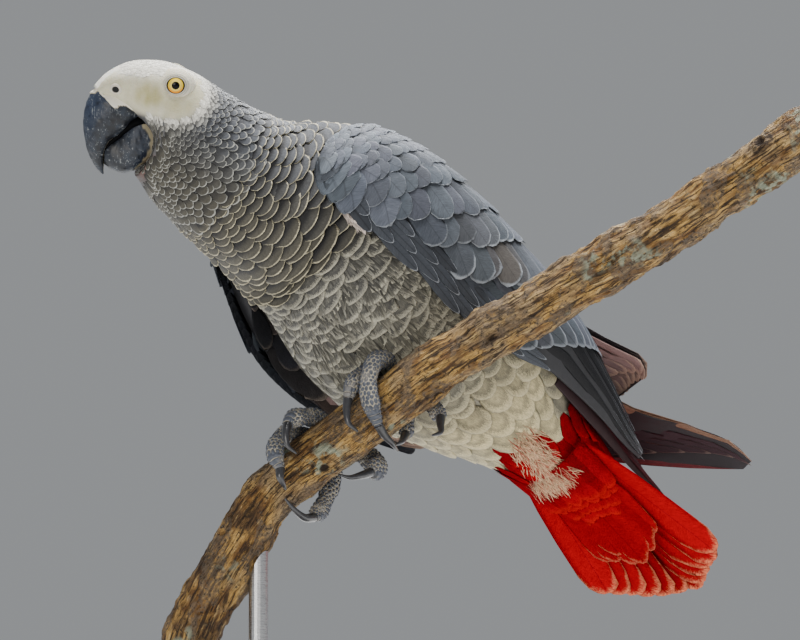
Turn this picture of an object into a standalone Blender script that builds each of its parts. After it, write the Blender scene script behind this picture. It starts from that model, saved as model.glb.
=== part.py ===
"""Life-size grey parrot gripping a short cut branch, which one rod holds over a flat base plate.

Built in metres, +Z up. The origin is the centre of the base plate's underside. The bird faces -X, its left side
is -Y, and its own plane of symmetry is y = 12 mm. Sizes below are millimetres unless a name says otherwise.
"""

import bmesh
import bpy
import numpy as np
from mathutils import Vector

MM = 0.001
GAP = 0.35                     # clearance between neighbouring solids
BODY_CENTRE = np.array([7.6, 12.0, 239.5])
BODY_PITCH = 40.5              # degrees, breast up
HEAD_CENTRE = np.array([-102.5, 10.0, 308.6])
HEAD_YAW, HEAD_ROLL = 23.0, -14.0    # degrees: beak to the bird's right, left cheek down
HEAD_DIP = 0.0145              # fall of the beak's axis per unit of its length

BRANCH_ROUTE = [(-75, 46, 71), (-71, 40, 96), (-61, 27, 124), (-48, 14, 152), (-25, -7, 175), (3, -39, 204),
                (30, -72, 227), (56, -106, 249), (81, -140, 274), (104, -170, 297)]
BRANCH_RADII = [(0, 12.2), (60, 11.2), (110, 11.0), (150, 11.4), (200, 10.6), (260, 11.2), (310, 10.4), (372, 11.0)]
BRANCH_SIDES, BRANCH_RINGS = 12, 26
# Ripples round the bark: share of the radius, waves round it, and turn of the waves in radians per mm of length.
BARK_RIPPLES = [(0.03, 3, 0.11), (0.02, 2, -0.05)]

BASE_SIZE = (190.0, 150.0, 10.0)
BASE_CORNER, BASE_EDGE = 22.0, 1.6
CORNER_POINTS, ROD_SIDES = 6, 20
ROD_RADIUS, ROD_PLACE, ROD_TOP = 4.0, (-53.0, 19.5), 140.0
COLLAR_RADIUS, COLLAR_HEIGHT = 9.0, 7.0

EYE_RADIUS = 4.7
EYE_PLACE = (-2.6, 12.3, 7.3)  # head frame: forward, left, up

FLESH_SIDES = 20
BOXINESS = 2.35                # superellipse exponent of the trunk's sections
HEAD_STEP, NECK_STEP, TRUNK_STEP = 6.0, 9.0, 10.0   # ring spacing along the flesh
TRUNK_COVER = 100.0            # how far up the neck wings and feet keep clear of the flesh
SHARP_ANGLE = 50.0             # degrees between faces that stay a crease


# Finishes: colour, roughness and, for a metal, how metallic it is.
GREY, PALE, DOWN = ((0.3, 0.3, 0.31), 0.85), ((0.6, 0.58, 0.54), 0.85), ((0.45, 0.43, 0.4), 0.8)
WING_GREY, QUILL, RED = ((0.2, 0.21, 0.23), 0.75), ((0.07, 0.06, 0.06), 0.7), ((0.7, 0.02, 0.02), 0.75)
HORN, IRIS, SCALY = ((0.06, 0.065, 0.075), 0.35), ((0.75, 0.7, 0.45), 0.1), ((0.22, 0.21, 0.2), 0.6)
BARK, PAINT, STEEL = ((0.35, 0.24, 0.12), 0.8), ((0.05, 0.05, 0.05), 0.5), ((0.4, 0.4, 0.4), 0.3, 1.0)


# ---------------------------------------------------------------- frames

def unit(v):
    v = np.asarray(v, float)
    return v / np.linalg.norm(v)


def body_axes():
    p = np.radians(BODY_PITCH)
    return np.array([-np.cos(p), 0, np.sin(p)]), np.array([0, -1.0, 0]), np.array([np.sin(p), 0, np.cos(p)])


FORE, LEFT, BACK = body_axes()


def bird(t, a, b):
    """Bird frame to world: t towards the head, a towards its left, b towards its back."""
    return BODY_CENTRE + t * FORE + a * LEFT + b * BACK


def head_axes():
    yaw, roll = np.radians(HEAD_YAW), np.radians(HEAD_ROLL)
    forward = unit([-np.cos(yaw), np.sin(yaw), -HEAD_DIP])
    level_left = unit(np.cross([0, 0, 1], forward))
    level_up = np.cross(forward, level_left)
    left = np.cos(roll) * level_left + np.sin(roll) * level_up
    return forward, left, np.cross(forward, left)


HEAD_FORE, HEAD_LEFT, HEAD_UP = head_axes()


def on_head(f, l, u):
    return HEAD_CENTRE + f * HEAD_FORE + l * HEAD_LEFT + u * HEAD_UP


# ---------------------------------------------------------------- curves

def smooth(knots, values, x):
    """Cubic through the rows of values at increasing knots, with finite-difference slopes, read at x."""
    knots, values = np.asarray(knots, float), np.asarray(values, float)
    slopes = np.gradient(values, knots, axis=0)
    i = int(np.clip(np.searchsorted(knots, x) - 1, 0, len(knots) - 2))
    h = knots[i + 1] - knots[i]
    s = (x - knots[i]) / h
    return ((2 * s**3 - 3 * s**2 + 1) * values[i] + (s**3 - 2 * s**2 + s) * h * slopes[i]
            + (3 * s**2 - 2 * s**3) * values[i + 1] + (s**3 - s**2) * h * slopes[i + 1])


def chord_knots(points):
    steps = np.linalg.norm(np.diff(np.asarray(points, float), axis=0), axis=1)
    return np.concatenate([[0.0], np.cumsum(steps)])


def smooth_path(points, count):
    knots = chord_knots(points)
    return [smooth(knots, points, x) for x in np.linspace(knots[0], knots[-1], count)]


# ---------------------------------------------------------------- meshes

ROOT = None


def material(name, colour, roughness, metallic=0.0):
    made = bpy.data.materials.new(name)
    made.use_nodes = True
    shader = made.node_tree.nodes["Principled BSDF"]
    shader.inputs["Base Color"].default_value = (*colour, 1.0)
    shader.inputs["Roughness"].default_value = roughness
    shader.inputs["Metallic"].default_value = metallic
    return made


def make(name, verts, faces, colour, roughness, metallic=0.0):
    """One closed mesh object whose origin is its middle, parented to the model's empty."""
    verts = np.asarray(verts, float) * MM
    origin = np.round((verts.min(axis=0) + verts.max(axis=0)) / 2, 4)
    mesh = bpy.data.meshes.new(name)
    mesh.from_pydata([tuple(v) for v in verts - origin], [], faces)
    bm = bmesh.new()
    bm.from_mesh(mesh)
    bmesh.ops.triangulate(bm, faces=bm.faces)
    bmesh.ops.recalc_face_normals(bm, faces=bm.faces)
    bm.to_mesh(mesh)
    bm.free()
    mesh.materials.append(material(name, colour, roughness, metallic))
    obj = bpy.data.objects.new(name, mesh)
    obj.location = Vector(origin)
    obj.parent = ROOT
    bpy.context.scene.collection.objects.link(obj)
    mesh.shade_smooth()
    mesh.set_sharp_from_angle(angle=np.radians(SHARP_ANGLE))
    return obj


def loft(rings):
    """Vertices and faces of a solid through closed rings of equal length, with its two ends filled.

    The diagonals of the two halves of a ring mirror each other, so that thin walls never cross."""
    rings = [np.asarray(r, float) for r in rings]
    n = len(rings[0])
    verts = np.concatenate(rings + [rings[0].mean(axis=0)[None], rings[-1].mean(axis=0)[None]])
    faces = []
    for i in range(len(rings) - 1):
        for j in range(n):
            k = (j + 1) % n
            a, b, c, d = i * n + j, i * n + k, (i + 1) * n + k, (i + 1) * n + j
            faces += [(a, b, c), (a, c, d)] if j < n // 2 else [(a, b, d), (b, c, d)]
    first, last, end = len(verts) - 2, len(verts) - 1, (len(rings) - 1) * n
    for j in range(n):
        k = (j + 1) % n
        faces.append((first, k, j))
        faces.append((last, end + j, end + k))
    return verts, faces


TUBE_SIDEWAYS = (0.31, 0.17, 0.94)    # any direction that no tube here starts along


def tube(path, radii, sides, squash=1.0, grow=0.0):
    """Rings of a round tube along a path; squash flattens it, and grow swells it on all sides, its ends included."""
    path, radii = np.array(path, float), np.asarray(radii, float) + grow
    path[0] -= grow * unit(path[1] - path[0])
    path[-1] += grow * unit(path[-1] - path[-2])
    tangents = np.gradient(path, axis=0)
    u = unit(np.cross(tangents[0], TUBE_SIDEWAYS))
    rings = []
    for p, t, r in zip(path, tangents, radii):
        t = unit(t)
        u = unit(u - t * (u @ t))
        w = np.cross(t, u)
        turn = np.arange(sides) * 2 * np.pi / sides
        rings.append(p + r * np.outer(np.cos(turn), u) + r * squash * np.outer(np.sin(turn), w))
    return rings


def ball(centre, radius, sides=12, levels=7):
    rings = []
    for i in range(1, levels):
        lat = -np.pi / 2 + np.pi * i / levels
        turn = np.arange(sides) * 2 * np.pi / sides
        rings.append(np.asarray(centre) + radius * np.stack(
            [np.cos(lat) * np.cos(turn), np.cos(lat) * np.sin(turn), np.full(sides, np.sin(lat))], axis=1))
    verts, faces = loft(rings)
    verts[-2] = np.asarray(centre) - [0, 0, radius]
    verts[-1] = np.asarray(centre) + [0, 0, radius]
    return verts, faces


def keep_largest(mesh):
    """Drops crumbs that a cut leaves beside the main body."""
    bm = bmesh.new()
    bm.from_mesh(mesh)
    left, islands = set(bm.verts), []
    while left:
        stack, island = [left.pop()], set()
        while stack:
            v = stack.pop()
            island.add(v)
            for e in v.link_edges:
                o = e.other_vert(v)
                if o in left:
                    left.discard(o)
                    stack.append(o)
        islands.append(island)
    islands.sort(key=len)
    bmesh.ops.delete(bm, geom=[v for island in islands[:-1] for v in island], context="VERTS")
    bmesh.ops.triangulate(bm, faces=bm.faces)
    bm.to_mesh(mesh)
    bm.free()


def cut(obj, *solids):
    """Takes each (verts, faces) away from obj with an exact Boolean."""
    for verts, faces in solids:
        cutter = make("cutter", verts, faces, *GREY)
        cutter.hide_render = True
        cutter.display_type = "WIRE"
        modifier = obj.modifiers.new("clear", "BOOLEAN")
        modifier.operation, modifier.solver, modifier.object = "DIFFERENCE", "EXACT", cutter
        modifier.use_self = True
        bpy.context.view_layer.update()
        graph = bpy.context.evaluated_depsgraph_get()
        mesh = bpy.data.meshes.new_from_object(obj.evaluated_get(graph))
        keep_largest(mesh)
        mesh.name = obj.name
        obj.modifiers.clear()
        obj.data = mesh
        bpy.data.objects.remove(cutter)
    return obj


# ---------------------------------------------------------------- flesh

# Trunk sections: t, half width, height above the axis, depth below it.
TRUNK = [(-97, 20, 15, 20), (-80, 27, 25, 28), (-60, 34, 36, 39), (-30, 41, 42, 52), (0, 43, 44, 55)]
# Breast and neck sections in the bird frame: top, bottom, half width.
NECK = [((32, 0, 42), (26, 0, -49), 42), ((52, 0, 36), (37, 0, -46.5), 39.5), ((70, 1.6, 25), (48, -1.6, -46.5), 36),
        ((81.5, 4, 14), (66, -4, -48.5), 32), ((95, 7, 7), (85, -7, -50), 27.5),
        ((107, 10.5, 2), (100.5, -8.5, -50), 23.5), ((116, 12.5, -1.5), (113.5, -9.5, -48), 20)]
# Head sections in the head's frame, forward and up: top, bottom, half width.
HEAD = [((-14, 11), (11.8, -31), 18), ((-2.7, 15.5), (7.6, -27), 17.2), ((6.3, 16.6), (5.2, -16.2), 15.8),
        ((16.4, 15.2), (11.4, -7), 12.6), ((24.9, 10.4), (17.5, -2.1), 9), ((29.3, 5.5), (23.2, 0.7), 6.2)]
HEAD_WIDEST = 0.58                     # share of a head section's height below its widest line
NECK_START, HEAD_START = 57.0, 118.5   # distance along the flesh's spine
BELLY_END, VENT_END = 20.0, -46.0      # where breast meets belly and belly meets vent, same distance


def flesh_stations():
    """(knot, [top, bottom, side, share of the height below the widest line]) along the body's spine."""
    rows = []
    for t, half, up, down in TRUNK:
        rows.append([bird(t, 0, up), bird(t, 0, -down), half * LEFT, down / (up + down)])
    for top, bottom, half in NECK:
        top, bottom = bird(*top), bird(*bottom)
        across = LEFT - unit(top - bottom) * (LEFT @ unit(top - bottom))
        rows.append([top, bottom, half * unit(across), 0.5])
    for top, bottom, half in HEAD:
        rows.append([on_head(top[0], 0, top[1]), on_head(bottom[0], 0, bottom[1]), half * HEAD_LEFT, HEAD_WIDEST])
    middles = [r[1] + 0.5 * (r[0] - r[1]) for r in rows]
    knots = chord_knots(middles)
    knots = knots - knots[4]                    # zero at the trunk section t = 0
    return knots, np.array([np.concatenate([r[0], r[1], r[2], [r[3]]]) for r in rows])


SPINE, STATIONS = flesh_stations()


def flesh_ring(x, grow=0.0, sides=FLESH_SIDES):
    row = smooth(SPINE, STATIONS, x)
    top, bottom, side, low = row[0:3], row[3:6], row[6:9], row[9]
    middle = bottom + low * (top - bottom)
    ring = []
    for turn in np.arange(sides) * 2 * np.pi / sides:
        c, s = np.cos(turn), np.sin(turn)
        reach = (top if c > 0 else bottom) - middle
        offset = (reach * abs(c) ** (2 / BOXINESS) + side * np.sign(s) * abs(s) ** (2 / BOXINESS))
        ring.append(middle + offset * (1 + grow / np.linalg.norm(offset)))
    return ring


def flesh(x0, x1, step, grow=0.0):
    count = max(2, int(round(abs(x1 - x0) / step)) + 1)
    return loft([flesh_ring(x, grow) for x in np.linspace(x0, x1, count)])


def head_solid(grow=0.0):
    return flesh(HEAD_START + GAP / 2 - grow, SPINE[-1] + grow, HEAD_STEP, grow)


# ---------------------------------------------------------------- bill and eyes

# Sections in the head's frame, forward and up: ridge, cutting edge, half width.
UPPER_BILL = [((23, 6.5), (9, -3.5), 6.2), ((29.2, 3.6), (12.5, -6.5), 8), ((31.6, 0), (15, -9.8), 8.3),
              ((32.6, -3.6), (18.7, -13.6), 7.8), ((33.2, -9.5), (22.3, -17.3), 6.8), ((32.7, -15.2), (24.4, -20.9), 5.4),
              ((31.3, -21), (24.8, -23.8), 4), ((29.4, -25.2), (24.6, -26.5), 2.7), ((27.4, -28.3), (24.7, -28.7), 1.5),
              ((25.3, -30.4), (24.6, -30.2), 0.5)]
LOWER_BILL = [((2, -13), (0, -18.5), 6), ((9.5, -10.5), (6, -24.3), 7.5), ((13.5, -11.8), (10.3, -27.2), 7.6),
              ((16.6, -16), (14.3, -29.7), 7), ((19.4, -18.6), (18.5, -29.6), 6.2), ((22, -18.8), (22.2, -27.8), 5),
              ((23.6, -19.6), (24, -25.8), 3.4)]
BILL_SIDES = 12
# The tongue, seen in the open mouth: middle line in the head's frame, then half width and half thickness.
TONGUE = [((12.8, -9.9), 2.2, 0.6), ((14.6, -11.4), 3.2, 0.8), ((16.8, -13.7), 3.5, 0.9), ((18.8, -15.8), 3.2, 0.9),
          ((20.2, -17.0), 2.0, 0.6)]


def bill(sections, grow=0.0):
    rings = []
    for ridge, edge, half in sections:
        ridge, edge = on_head(ridge[0], 0, ridge[1]), on_head(edge[0], 0, edge[1])
        middle, up = (ridge + edge) / 2, (ridge - edge) / 2
        turn = np.arange(BILL_SIDES) * 2 * np.pi / BILL_SIDES
        offset = np.outer(np.cos(turn), up) + np.outer(np.sin(turn), half * HEAD_LEFT)
        rings.append(middle + offset * (1 + grow / np.linalg.norm(offset, axis=1))[:, None])
    return loft(rings)


def tongue():
    rings = []
    turn = np.arange(BILL_SIDES) * 2 * np.pi / BILL_SIDES
    normal = unit(HEAD_UP + HEAD_FORE)
    for (forward, up), wide, thick in TONGUE:
        rings.append(on_head(forward, 0, up) + np.outer(np.cos(turn), thick * normal)
                     + np.outer(np.sin(turn), wide * HEAD_LEFT))
    return loft(rings)


# ---------------------------------------------------------------- wings

# Wing sections across the body at t: lower edge, upper edge and outward control point as (a, b), then thickness.
LEFT_WING = [(76, (42, -9), (35, 7), (44, -2), 3), (72, (44, -12), (29, 17), (47, 4), 6),
             (63, (46, -14), (20, 30), (51, 17), 9), (40, (47, -15), (11, 44), (54, 36), 10),
             (10, (48, -13), (8, 48), (54, 45), 9), (-20, (47, -12), (6, 49), (54, 46), 8),
             (-45, (43, -6), (5, 49), (50, 45), 6), (-63, (37, 4), (5, 47), (45, 42), 4.5),
             (-80, (32, 9), (7, 43), (38, 38), 3.5), (-100, (27, 13), (10, 35), (31, 32), 2.5),
             (-120, (21, 16), (13, 28), (23, 26), 2), (-131, (18.5, 18.5), (15, 24), (19, 22.5), 1.2)]
LEFT_PRIMARIES = [(-72, (29, 7), (9, 31), (31, 28), 2.4), (-100, (23, 10), (9, 26), (25, 24), 2.2),
                  (-130, (16, 13.5), (11.5, 21), (17, 19), 1.8), (-150, (14.5, 15), (12.5, 19), (15, 18), 1.4),
                  (-160, (14, 16.5), (13, 18), (14, 17.5), 0.8)]
RIGHT_WING = [(64, (-44, -22), (-34, 8), (-49, -6), 6), (57, (-48, -28), (-24, 27), (-56, 6), 12),
              (40, (-54, -33.5), (-13, 44), (-61, 24), 14), (24, (-56.5, -39.5), (-10, 46), (-63, 29), 12),
              (6, (-58.5, -43.5), (-8, 48), (-65, 34), 10), (-14, (-59.5, -43), (-7, 49), (-66, 37), 8),
              (-36, (-59, -38.5), (-6, 50), (-66, 38), 7), (-60, (-56, -30), (-6, 51), (-61, 42), 6),
              (-82, (-50, -18), (-7, 56), (-57, 48), 4.5), (-100, (-40, 2), (-8, 62), (-46, 54), 3.5),
              (-116, (-30, 22), (-7, 65), (-34, 57), 2.5), (-123, (-21, 36), (-9, 60), (-24, 52), 1.2)]
RIGHT_PRIMARIES = [(-86, (-46, -11), (-18, 34), (-46, 20), 2.4), (-110, (-31, 8), (-11, 43), (-31, 32), 2.2),
                   (-130, (-18, 22), (-4, 47), (-17, 38), 1.8), (-150, (-6, 36), (1, 58), (-5, 50), 1.6),
                   (-168, (-1, 50), (3, 65), (0, 60), 1.2), (-181, (0, 62), (2, 66), (1, 64), 0.7)]
WING_POINTS, WING_STEP = 6, 12.0      # points across a section and spacing of the sections
WING_EDGE, WING_FULLNESS = 1.2, 0.6   # thickness along the edges, and how blunt a section is
SHOULDER_END, COVERTS_END = 45.0, -15.0


def wing_ring(table, t):
    rows = sorted(table)
    lower, upper, control, thick = np.split(
        smooth([r[0] for r in rows], [[*r[1], *r[2], *r[3], r[4]] for r in rows], t), [2, 4, 6])
    s = np.linspace(0, 1, WING_POINTS)[:, None]
    outer = (1 - s) ** 2 * lower + 2 * s * (1 - s) * control + s**2 * upper
    along = np.gradient(outer, axis=0)
    normal = np.stack([along[:, 1], -along[:, 0]], axis=1)
    normal /= np.linalg.norm(normal, axis=1)[:, None]
    if table[0][1][0] < 0:
        normal = -normal
    swell = max(thick - WING_EDGE, 0) * np.sin(np.pi * s) ** WING_FULLNESS
    depth = min(WING_EDGE, thick) + swell
    inner = outer - normal * depth
    return [bird(t, a, b) for a, b in np.concatenate([outer, inner[::-1]])]


def wing_piece(table, t0, t1):
    count = max(2, int(round(abs(t1 - t0) / WING_STEP)) + 1)
    return loft([wing_ring(table, t) for t in np.linspace(t0, t1, count)])


# ---------------------------------------------------------------- tail

TAIL_ROOT, TAIL_TIP = (-98.8, 0.0, 3.0), (-196.0, -4.0, 5.0)   # bird frame, along the middle pair
TAIL_ROLL = 20.0               # degrees, left edge raised
TAIL_PAIRS = 6
TAIL_ROOT_MIDDLE, TAIL_TIP_MIDDLE = 1.3, 3.5    # the inmost feathers' distance from the tail's middle line
TAIL_ROOT_STEP, TAIL_TIP_STEP = 2.5, 5.6    # sideways distance from pair to pair
TAIL_SHORTER = 3.2             # each pair ends this much before the one inside it
FEATHER_THICK, FEATHER_STEP = 0.55, 0.88
# Along one tail feather: share of its length, half width.
FEATHER_WIDTHS = [(0, 2.2), (0.2, 4.6), (0.5, 7.0), (0.8, 8.2), (0.93, 7.2), (0.985, 4.2), (1.0, 1.6)]


def tail_frame():
    root, tip = bird(*TAIL_ROOT), bird(*TAIL_TIP)
    along = unit(tip - root)
    roll = np.radians(TAIL_ROLL)
    left = np.cos(roll) * LEFT + np.sin(roll) * BACK
    left = unit(left - along * (left @ along))
    return root, along, left, np.cross(left, along), np.linalg.norm(tip - root)


TAIL_AT, TAIL_ALONG, TAIL_LEFT, TAIL_UP, TAIL_LENGTH = tail_frame()


def on_tail(x, y, z):
    return TAIL_AT + x * TAIL_ALONG + y * TAIL_LEFT + z * TAIL_UP


def tail_feather(pair, side, level):
    """One vane: a thin plate from its root beside the middle to its rounded tip, on its own level of the fan."""
    length = TAIL_LENGTH - TAIL_SHORTER * pair
    y0 = side * (TAIL_ROOT_MIDDLE + TAIL_ROOT_STEP * pair)
    y1 = side * (TAIL_TIP_MIDDLE + TAIL_TIP_STEP * pair)
    top, under = -level * FEATHER_STEP, -level * FEATHER_STEP - FEATHER_THICK
    rings = []
    for share, half in FEATHER_WIDTHS:
        x, y = share * length, y0 + (y1 - y0) * share
        rings.append([on_tail(x, y + e * half, z) for e, z in ((-1, top), (1, top), (1, under), (-1, under))])
    return loft(rings)


# Wedges of covert feathers above and below the fan: distance along the tail, half width, near face, far face.
UPPER_COVERTS = [(0, 17, 0.4, 12), (12, 16, 0.4, 9), (24, 13, 0.4, 5), (34, 8, 0.4, 1.6)]
UNDER_COVERTS = [(0, 19, -7.2, -21), (14, 18, -7.2, -17), (28, 16, -7.2, -12), (40, 10, -7.2, -8.4)]
# Points over a wedge's back, the first one as a share of the half turn, and how blunt the back is.
WEDGE_POINTS, WEDGE_START, WEDGE_BLUNT = 5, 0.15, 0.7


def covert_wedge(table):
    rings = []
    for x, half, near, far in table:
        ring = [on_tail(x, -half, near), on_tail(x, half, near)]
        for turn in np.linspace(WEDGE_START, 1 - WEDGE_START, WEDGE_POINTS) * np.pi:
            ring.append(on_tail(x, half * np.cos(turn), near + (far - near) * np.sin(turn) ** WEDGE_BLUNT))
        rings.append(ring)
    return loft(rings)


# ---------------------------------------------------------------- branch, feet and stand

AXIS_POINTS = 400              # points along the branch's middle line


def branch_axis():
    path = np.array(smooth_path(BRANCH_ROUTE, AXIS_POINTS))
    return path, chord_knots(path)


AXIS, AXIS_LENGTH = branch_axis()


def branch_frame(s):
    """Point, direction, upward and far-side unit vectors at s along the branch from its low end."""
    i = int(np.clip(np.searchsorted(AXIS_LENGTH, s), 1, len(AXIS) - 2))
    along = unit(AXIS[i + 1] - AXIS[i - 1])
    up = unit(np.array([0, 0, 1.0]) - along * along[2])
    return AXIS[i], along, up, np.cross(up, along)


def branch_radius(s):
    return float(smooth([r[0] for r in BRANCH_RADII], [[r[1]] for r in BRANCH_RADII], s)[0])


def round_branch(s, angle, reach):
    """World point beside the branch: angle in degrees from its top, positive towards the far side."""
    at, _, up, far = branch_frame(s)
    turn = np.radians(angle)
    return at + reach * (np.cos(turn) * up + np.sin(turn) * far)


def branch_solid(grow=0.0):
    rings = []
    for s in np.linspace(0, AXIS_LENGTH[-1], BRANCH_RINGS):
        at, _, up, far = branch_frame(s)
        ring = []
        for turn in np.arange(BRANCH_SIDES) * 2 * np.pi / BRANCH_SIDES:
            ripple = 1 + sum(share * np.sin(waves * turn + twist * s) for share, waves, twist in BARK_RIPPLES)
            ring.append(at + (branch_radius(s) * ripple + grow) * (np.cos(turn) * up + np.sin(turn) * far))
        rings.append(ring)
    return loft(rings)


# Each toe: radius at its root and at its end, then (distance along the branch, angle, reach) from root to end.
# Each claw: the same rows, going on from the toe's end.
LEFT_FOOT = {
    "toe_inner": ((4.1, 3.3), [(157, 60, 17.3), (160, 20, 15.5), (158, -25, 17.2), (152, -62, 17.3), (148, -92, 16.6),
                               (145, -120, 15.6)], [(144, -139, 15.6), (144, -155, 17.0), (143, -176, 18.6)]),
    "toe_outer": ((3.6, 3.0), [(152, 52, 17.0), (152, 20, 15.6), (149, -20, 16.6), (145, -48, 17.8), (141, -62, 17.2)],
                  [(138, -77, 17.6), (136, -92, 18.4), (137, -108, 18.2)]),
    "toe_back_outer": ((3.9, 3.2), [(160, 78, 17.8), (162, 104, 17.2), (163, 131, 16.8), (164, 152, 17.6)],
                       [(163, 165, 19.6), (162, 176, 22.4), (159, 184, 22.2)]),
    "toe_back_inner": ((3.6, 2.9), [(153, 82, 17.6), (151, 105, 15.8), (149, 133, 14.6), (148, 155, 14.4)],
                       [(147, 170, 15.0), (146, 181, 16.0), (144, 190, 16.4)]),
}
RIGHT_FOOT = {
    "toe_inner": ((4.3, 3.7), [(122, 66, 17.6), (122, 30, 15.4), (119, -8, 16.2), (116, -32, 19.3), (113, -45, 21.2)],
                  [(111, -57, 21.6), (109, -70, 20.2), (110, -82, 18.0)]),
    "toe_outer": ((3.9, 3.2), [(116, 62, 16.8), (112, 28, 15.0), (108, -20, 15.4), (104, -50, 16.8), (102, -68, 17.4),
                               (101, -84, 17.0)], [(99, -94, 18.6), (98, -103, 17.4), (97, -112, 15.2)]),
    "toe_back_inner": ((4.0, 3.4), [(118, 92, 19.6), (113, 112, 19.0), (107, 135, 18.6), (100, 160, 18.8),
                                    (96, 180, 19.2)], [(93, 198, 18.8), (93, 219, 17.6), (94, 240, 16.4)]),
    "toe_back_outer": ((4.6, 4.4), [(125, 94, 20.8), (128, 113, 20.8), (130, 138, 19.8), (128, 162, 18.0)],
                       [(125, 178, 16.8), (121, 193, 15.8), (119, 206, 14.6)]),
}
TOE_SIDES, CLAW_SIDES = 7, 6
TOE_END, TOE_SQUASH = 0.72, 0.9   # radius at a toe's two ends and its flatness, as shares
CLAW_ROOT, CLAW_TIP, CLAW_RINGS = 2.0, 0.45, 6   # radii and rings of a claw
CLAW_TAPER = 1.3               # above 1, a claw stays thick near its root
# Each shank: radius at the foot and at the top, then its foot (distance, angle, reach) and its top in the bird frame.
SOLE = 4.5                     # from a foot's middle down to the bark
SHANKS = {"left": ((4.9, 5.0), (156.5, 70, 21.0), (-29, 13, -31)),
          "right": ((4.9, 5.2), (120.5, 84, 22.6), (-36, -15, -36))}
# Each feathered thigh: bird-frame top and bottom, radii there, and the radius on the way as a share of the top's.
THIGHS = {"left": ((-3, 28, -25), (-24, 22, -34), 13, 9), "right": ((-28, -26, -30), (-31, -12, -58), 15, 7.5)}
THIGH_SWELL = [0.7, 0.97, 1.0, 0.9]
LEG_RINGS, THIGH_SIDES = 6, 12


def toe_rings(radii, rows, grow=0.0):
    path = smooth_path([round_branch(*row) for row in rows], 3 * len(rows) - 2)
    share = np.linspace(0, 1, len(path))
    size = radii[0] + (radii[1] - radii[0]) * share
    size[0] *= TOE_END
    size[-1] *= TOE_END
    return tube(path, size, TOE_SIDES, TOE_SQUASH, grow)


def claw_rings(toe_rows, rows):
    path = smooth_path([round_branch(*toe_rows[-1])] + [round_branch(*row) for row in rows], CLAW_RINGS)
    share = np.linspace(0, 1, len(path))
    return tube(path, CLAW_ROOT + (CLAW_TIP - CLAW_ROOT) * share**CLAW_TAPER, CLAW_SIDES)


def shank_solid(side, grow=0.0):
    radii, foot, top = SHANKS[side]
    path = smooth_path([round_branch(foot[0], foot[1], foot[2] - SOLE), round_branch(*foot), bird(*top)], LEG_RINGS)
    return loft(tube(path, np.linspace(radii[0], radii[1], LEG_RINGS), TOE_SIDES, 1.0, grow))


def thigh_solid(side, grow=0.0):
    top, bottom, wide, narrow = THIGHS[side]
    path = smooth_path([bird(*top), (bird(*top) + bird(*bottom)) / 2, bird(*bottom)], LEG_RINGS)
    radii = [wide * share for share in THIGH_SWELL] + [(wide + narrow) / 2, narrow]
    return loft(tube(path, radii, THIGH_SIDES, 1.0, grow))


def build_foot(side, foot, trunk_cutter):
    """Thigh, shank, toes and claws of one leg. Returns the solids that the belly makes room for."""
    bark = branch_solid(GAP)
    taken = [shank_solid(side, GAP)]
    for name, (radii, rows, claw_rows) in foot.items():
        cut(make(f"{name}_{side}", *loft(toe_rings(radii, rows)), *SCALY), bark, trunk_cutter, *taken)
        taken.append(loft(toe_rings(radii, rows, GAP)))
        claw = make(f"{name.replace('toe', 'claw')}_{side}", *loft(claw_rings(rows, claw_rows)), *HORN)
        cut(claw, bark, taken[-1])
    cut(make(f"shank_{side}", *shank_solid(side), *SCALY), bark)
    cut(make(f"thigh_{side}", *thigh_solid(side), *DOWN), bark, *taken)
    return [thigh_solid(side, GAP), taken[0]]


def stand_base():
    wide, deep, high = BASE_SIZE
    rings = []
    for z, inset in ((0, BASE_EDGE), (BASE_EDGE, 0), (high - BASE_EDGE, 0), (high, BASE_EDGE)):
        ring = []
        for quarter, (sx, sy) in enumerate(((1, 1), (-1, 1), (-1, -1), (1, -1))):
            for turn in (quarter + np.linspace(0, 1, CORNER_POINTS)) * np.pi / 2:
                corner = BASE_CORNER - inset
                ring.append((sx * (wide / 2 - BASE_CORNER) + corner * np.cos(turn),
                             sy * (deep / 2 - BASE_CORNER) + corner * np.sin(turn), z))
        rings.append(ring)
    return loft(rings)


def upright(radius, low, high):
    x, y = ROD_PLACE
    turn = np.arange(ROD_SIDES) * 2 * np.pi / ROD_SIDES
    return loft([np.stack([x + radius * np.cos(turn), y + radius * np.sin(turn), np.full(ROD_SIDES, z)], axis=1)
                 for z in (low, high)])


# ---------------------------------------------------------------- the model

def build_flesh():
    """Vent, belly, breast, neck and head, each one length of the same body. The belly is returned uncut."""
    make("vent", *flesh(SPINE[0], VENT_END - GAP / 2, TRUNK_STEP), *PALE)
    belly = make("belly", *flesh(VENT_END + GAP / 2, BELLY_END - GAP / 2, TRUNK_STEP), *PALE)
    make("breast", *flesh(BELLY_END + GAP / 2, NECK_START - GAP / 2, TRUNK_STEP), *GREY)
    make("neck", *flesh(NECK_START + GAP / 2, HEAD_START - GAP / 2, NECK_STEP), *GREY)
    forward, outward, up = EYE_PLACE
    eyes = {"left": on_head(forward, outward, up), "right": on_head(forward, -outward, up)}
    cut(make("head", *head_solid(), *PALE), bill(LOWER_BILL, GAP),
        *(ball(at, EYE_RADIUS + GAP) for at in eyes.values()))
    for side, at in eyes.items():
        make(f"eye_{side}", *ball(at, EYE_RADIUS), *IRIS)
    return belly


def build_bill():
    cut(make("bill_upper", *bill(UPPER_BILL), *HORN), head_solid(GAP))
    cut(make("tongue", *tongue(), *HORN), bill(UPPER_BILL, GAP), bill(LOWER_BILL, GAP), head_solid(GAP))
    cut(make("bill_lower", *bill(LOWER_BILL), *HORN), bill(UPPER_BILL, GAP))


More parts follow.
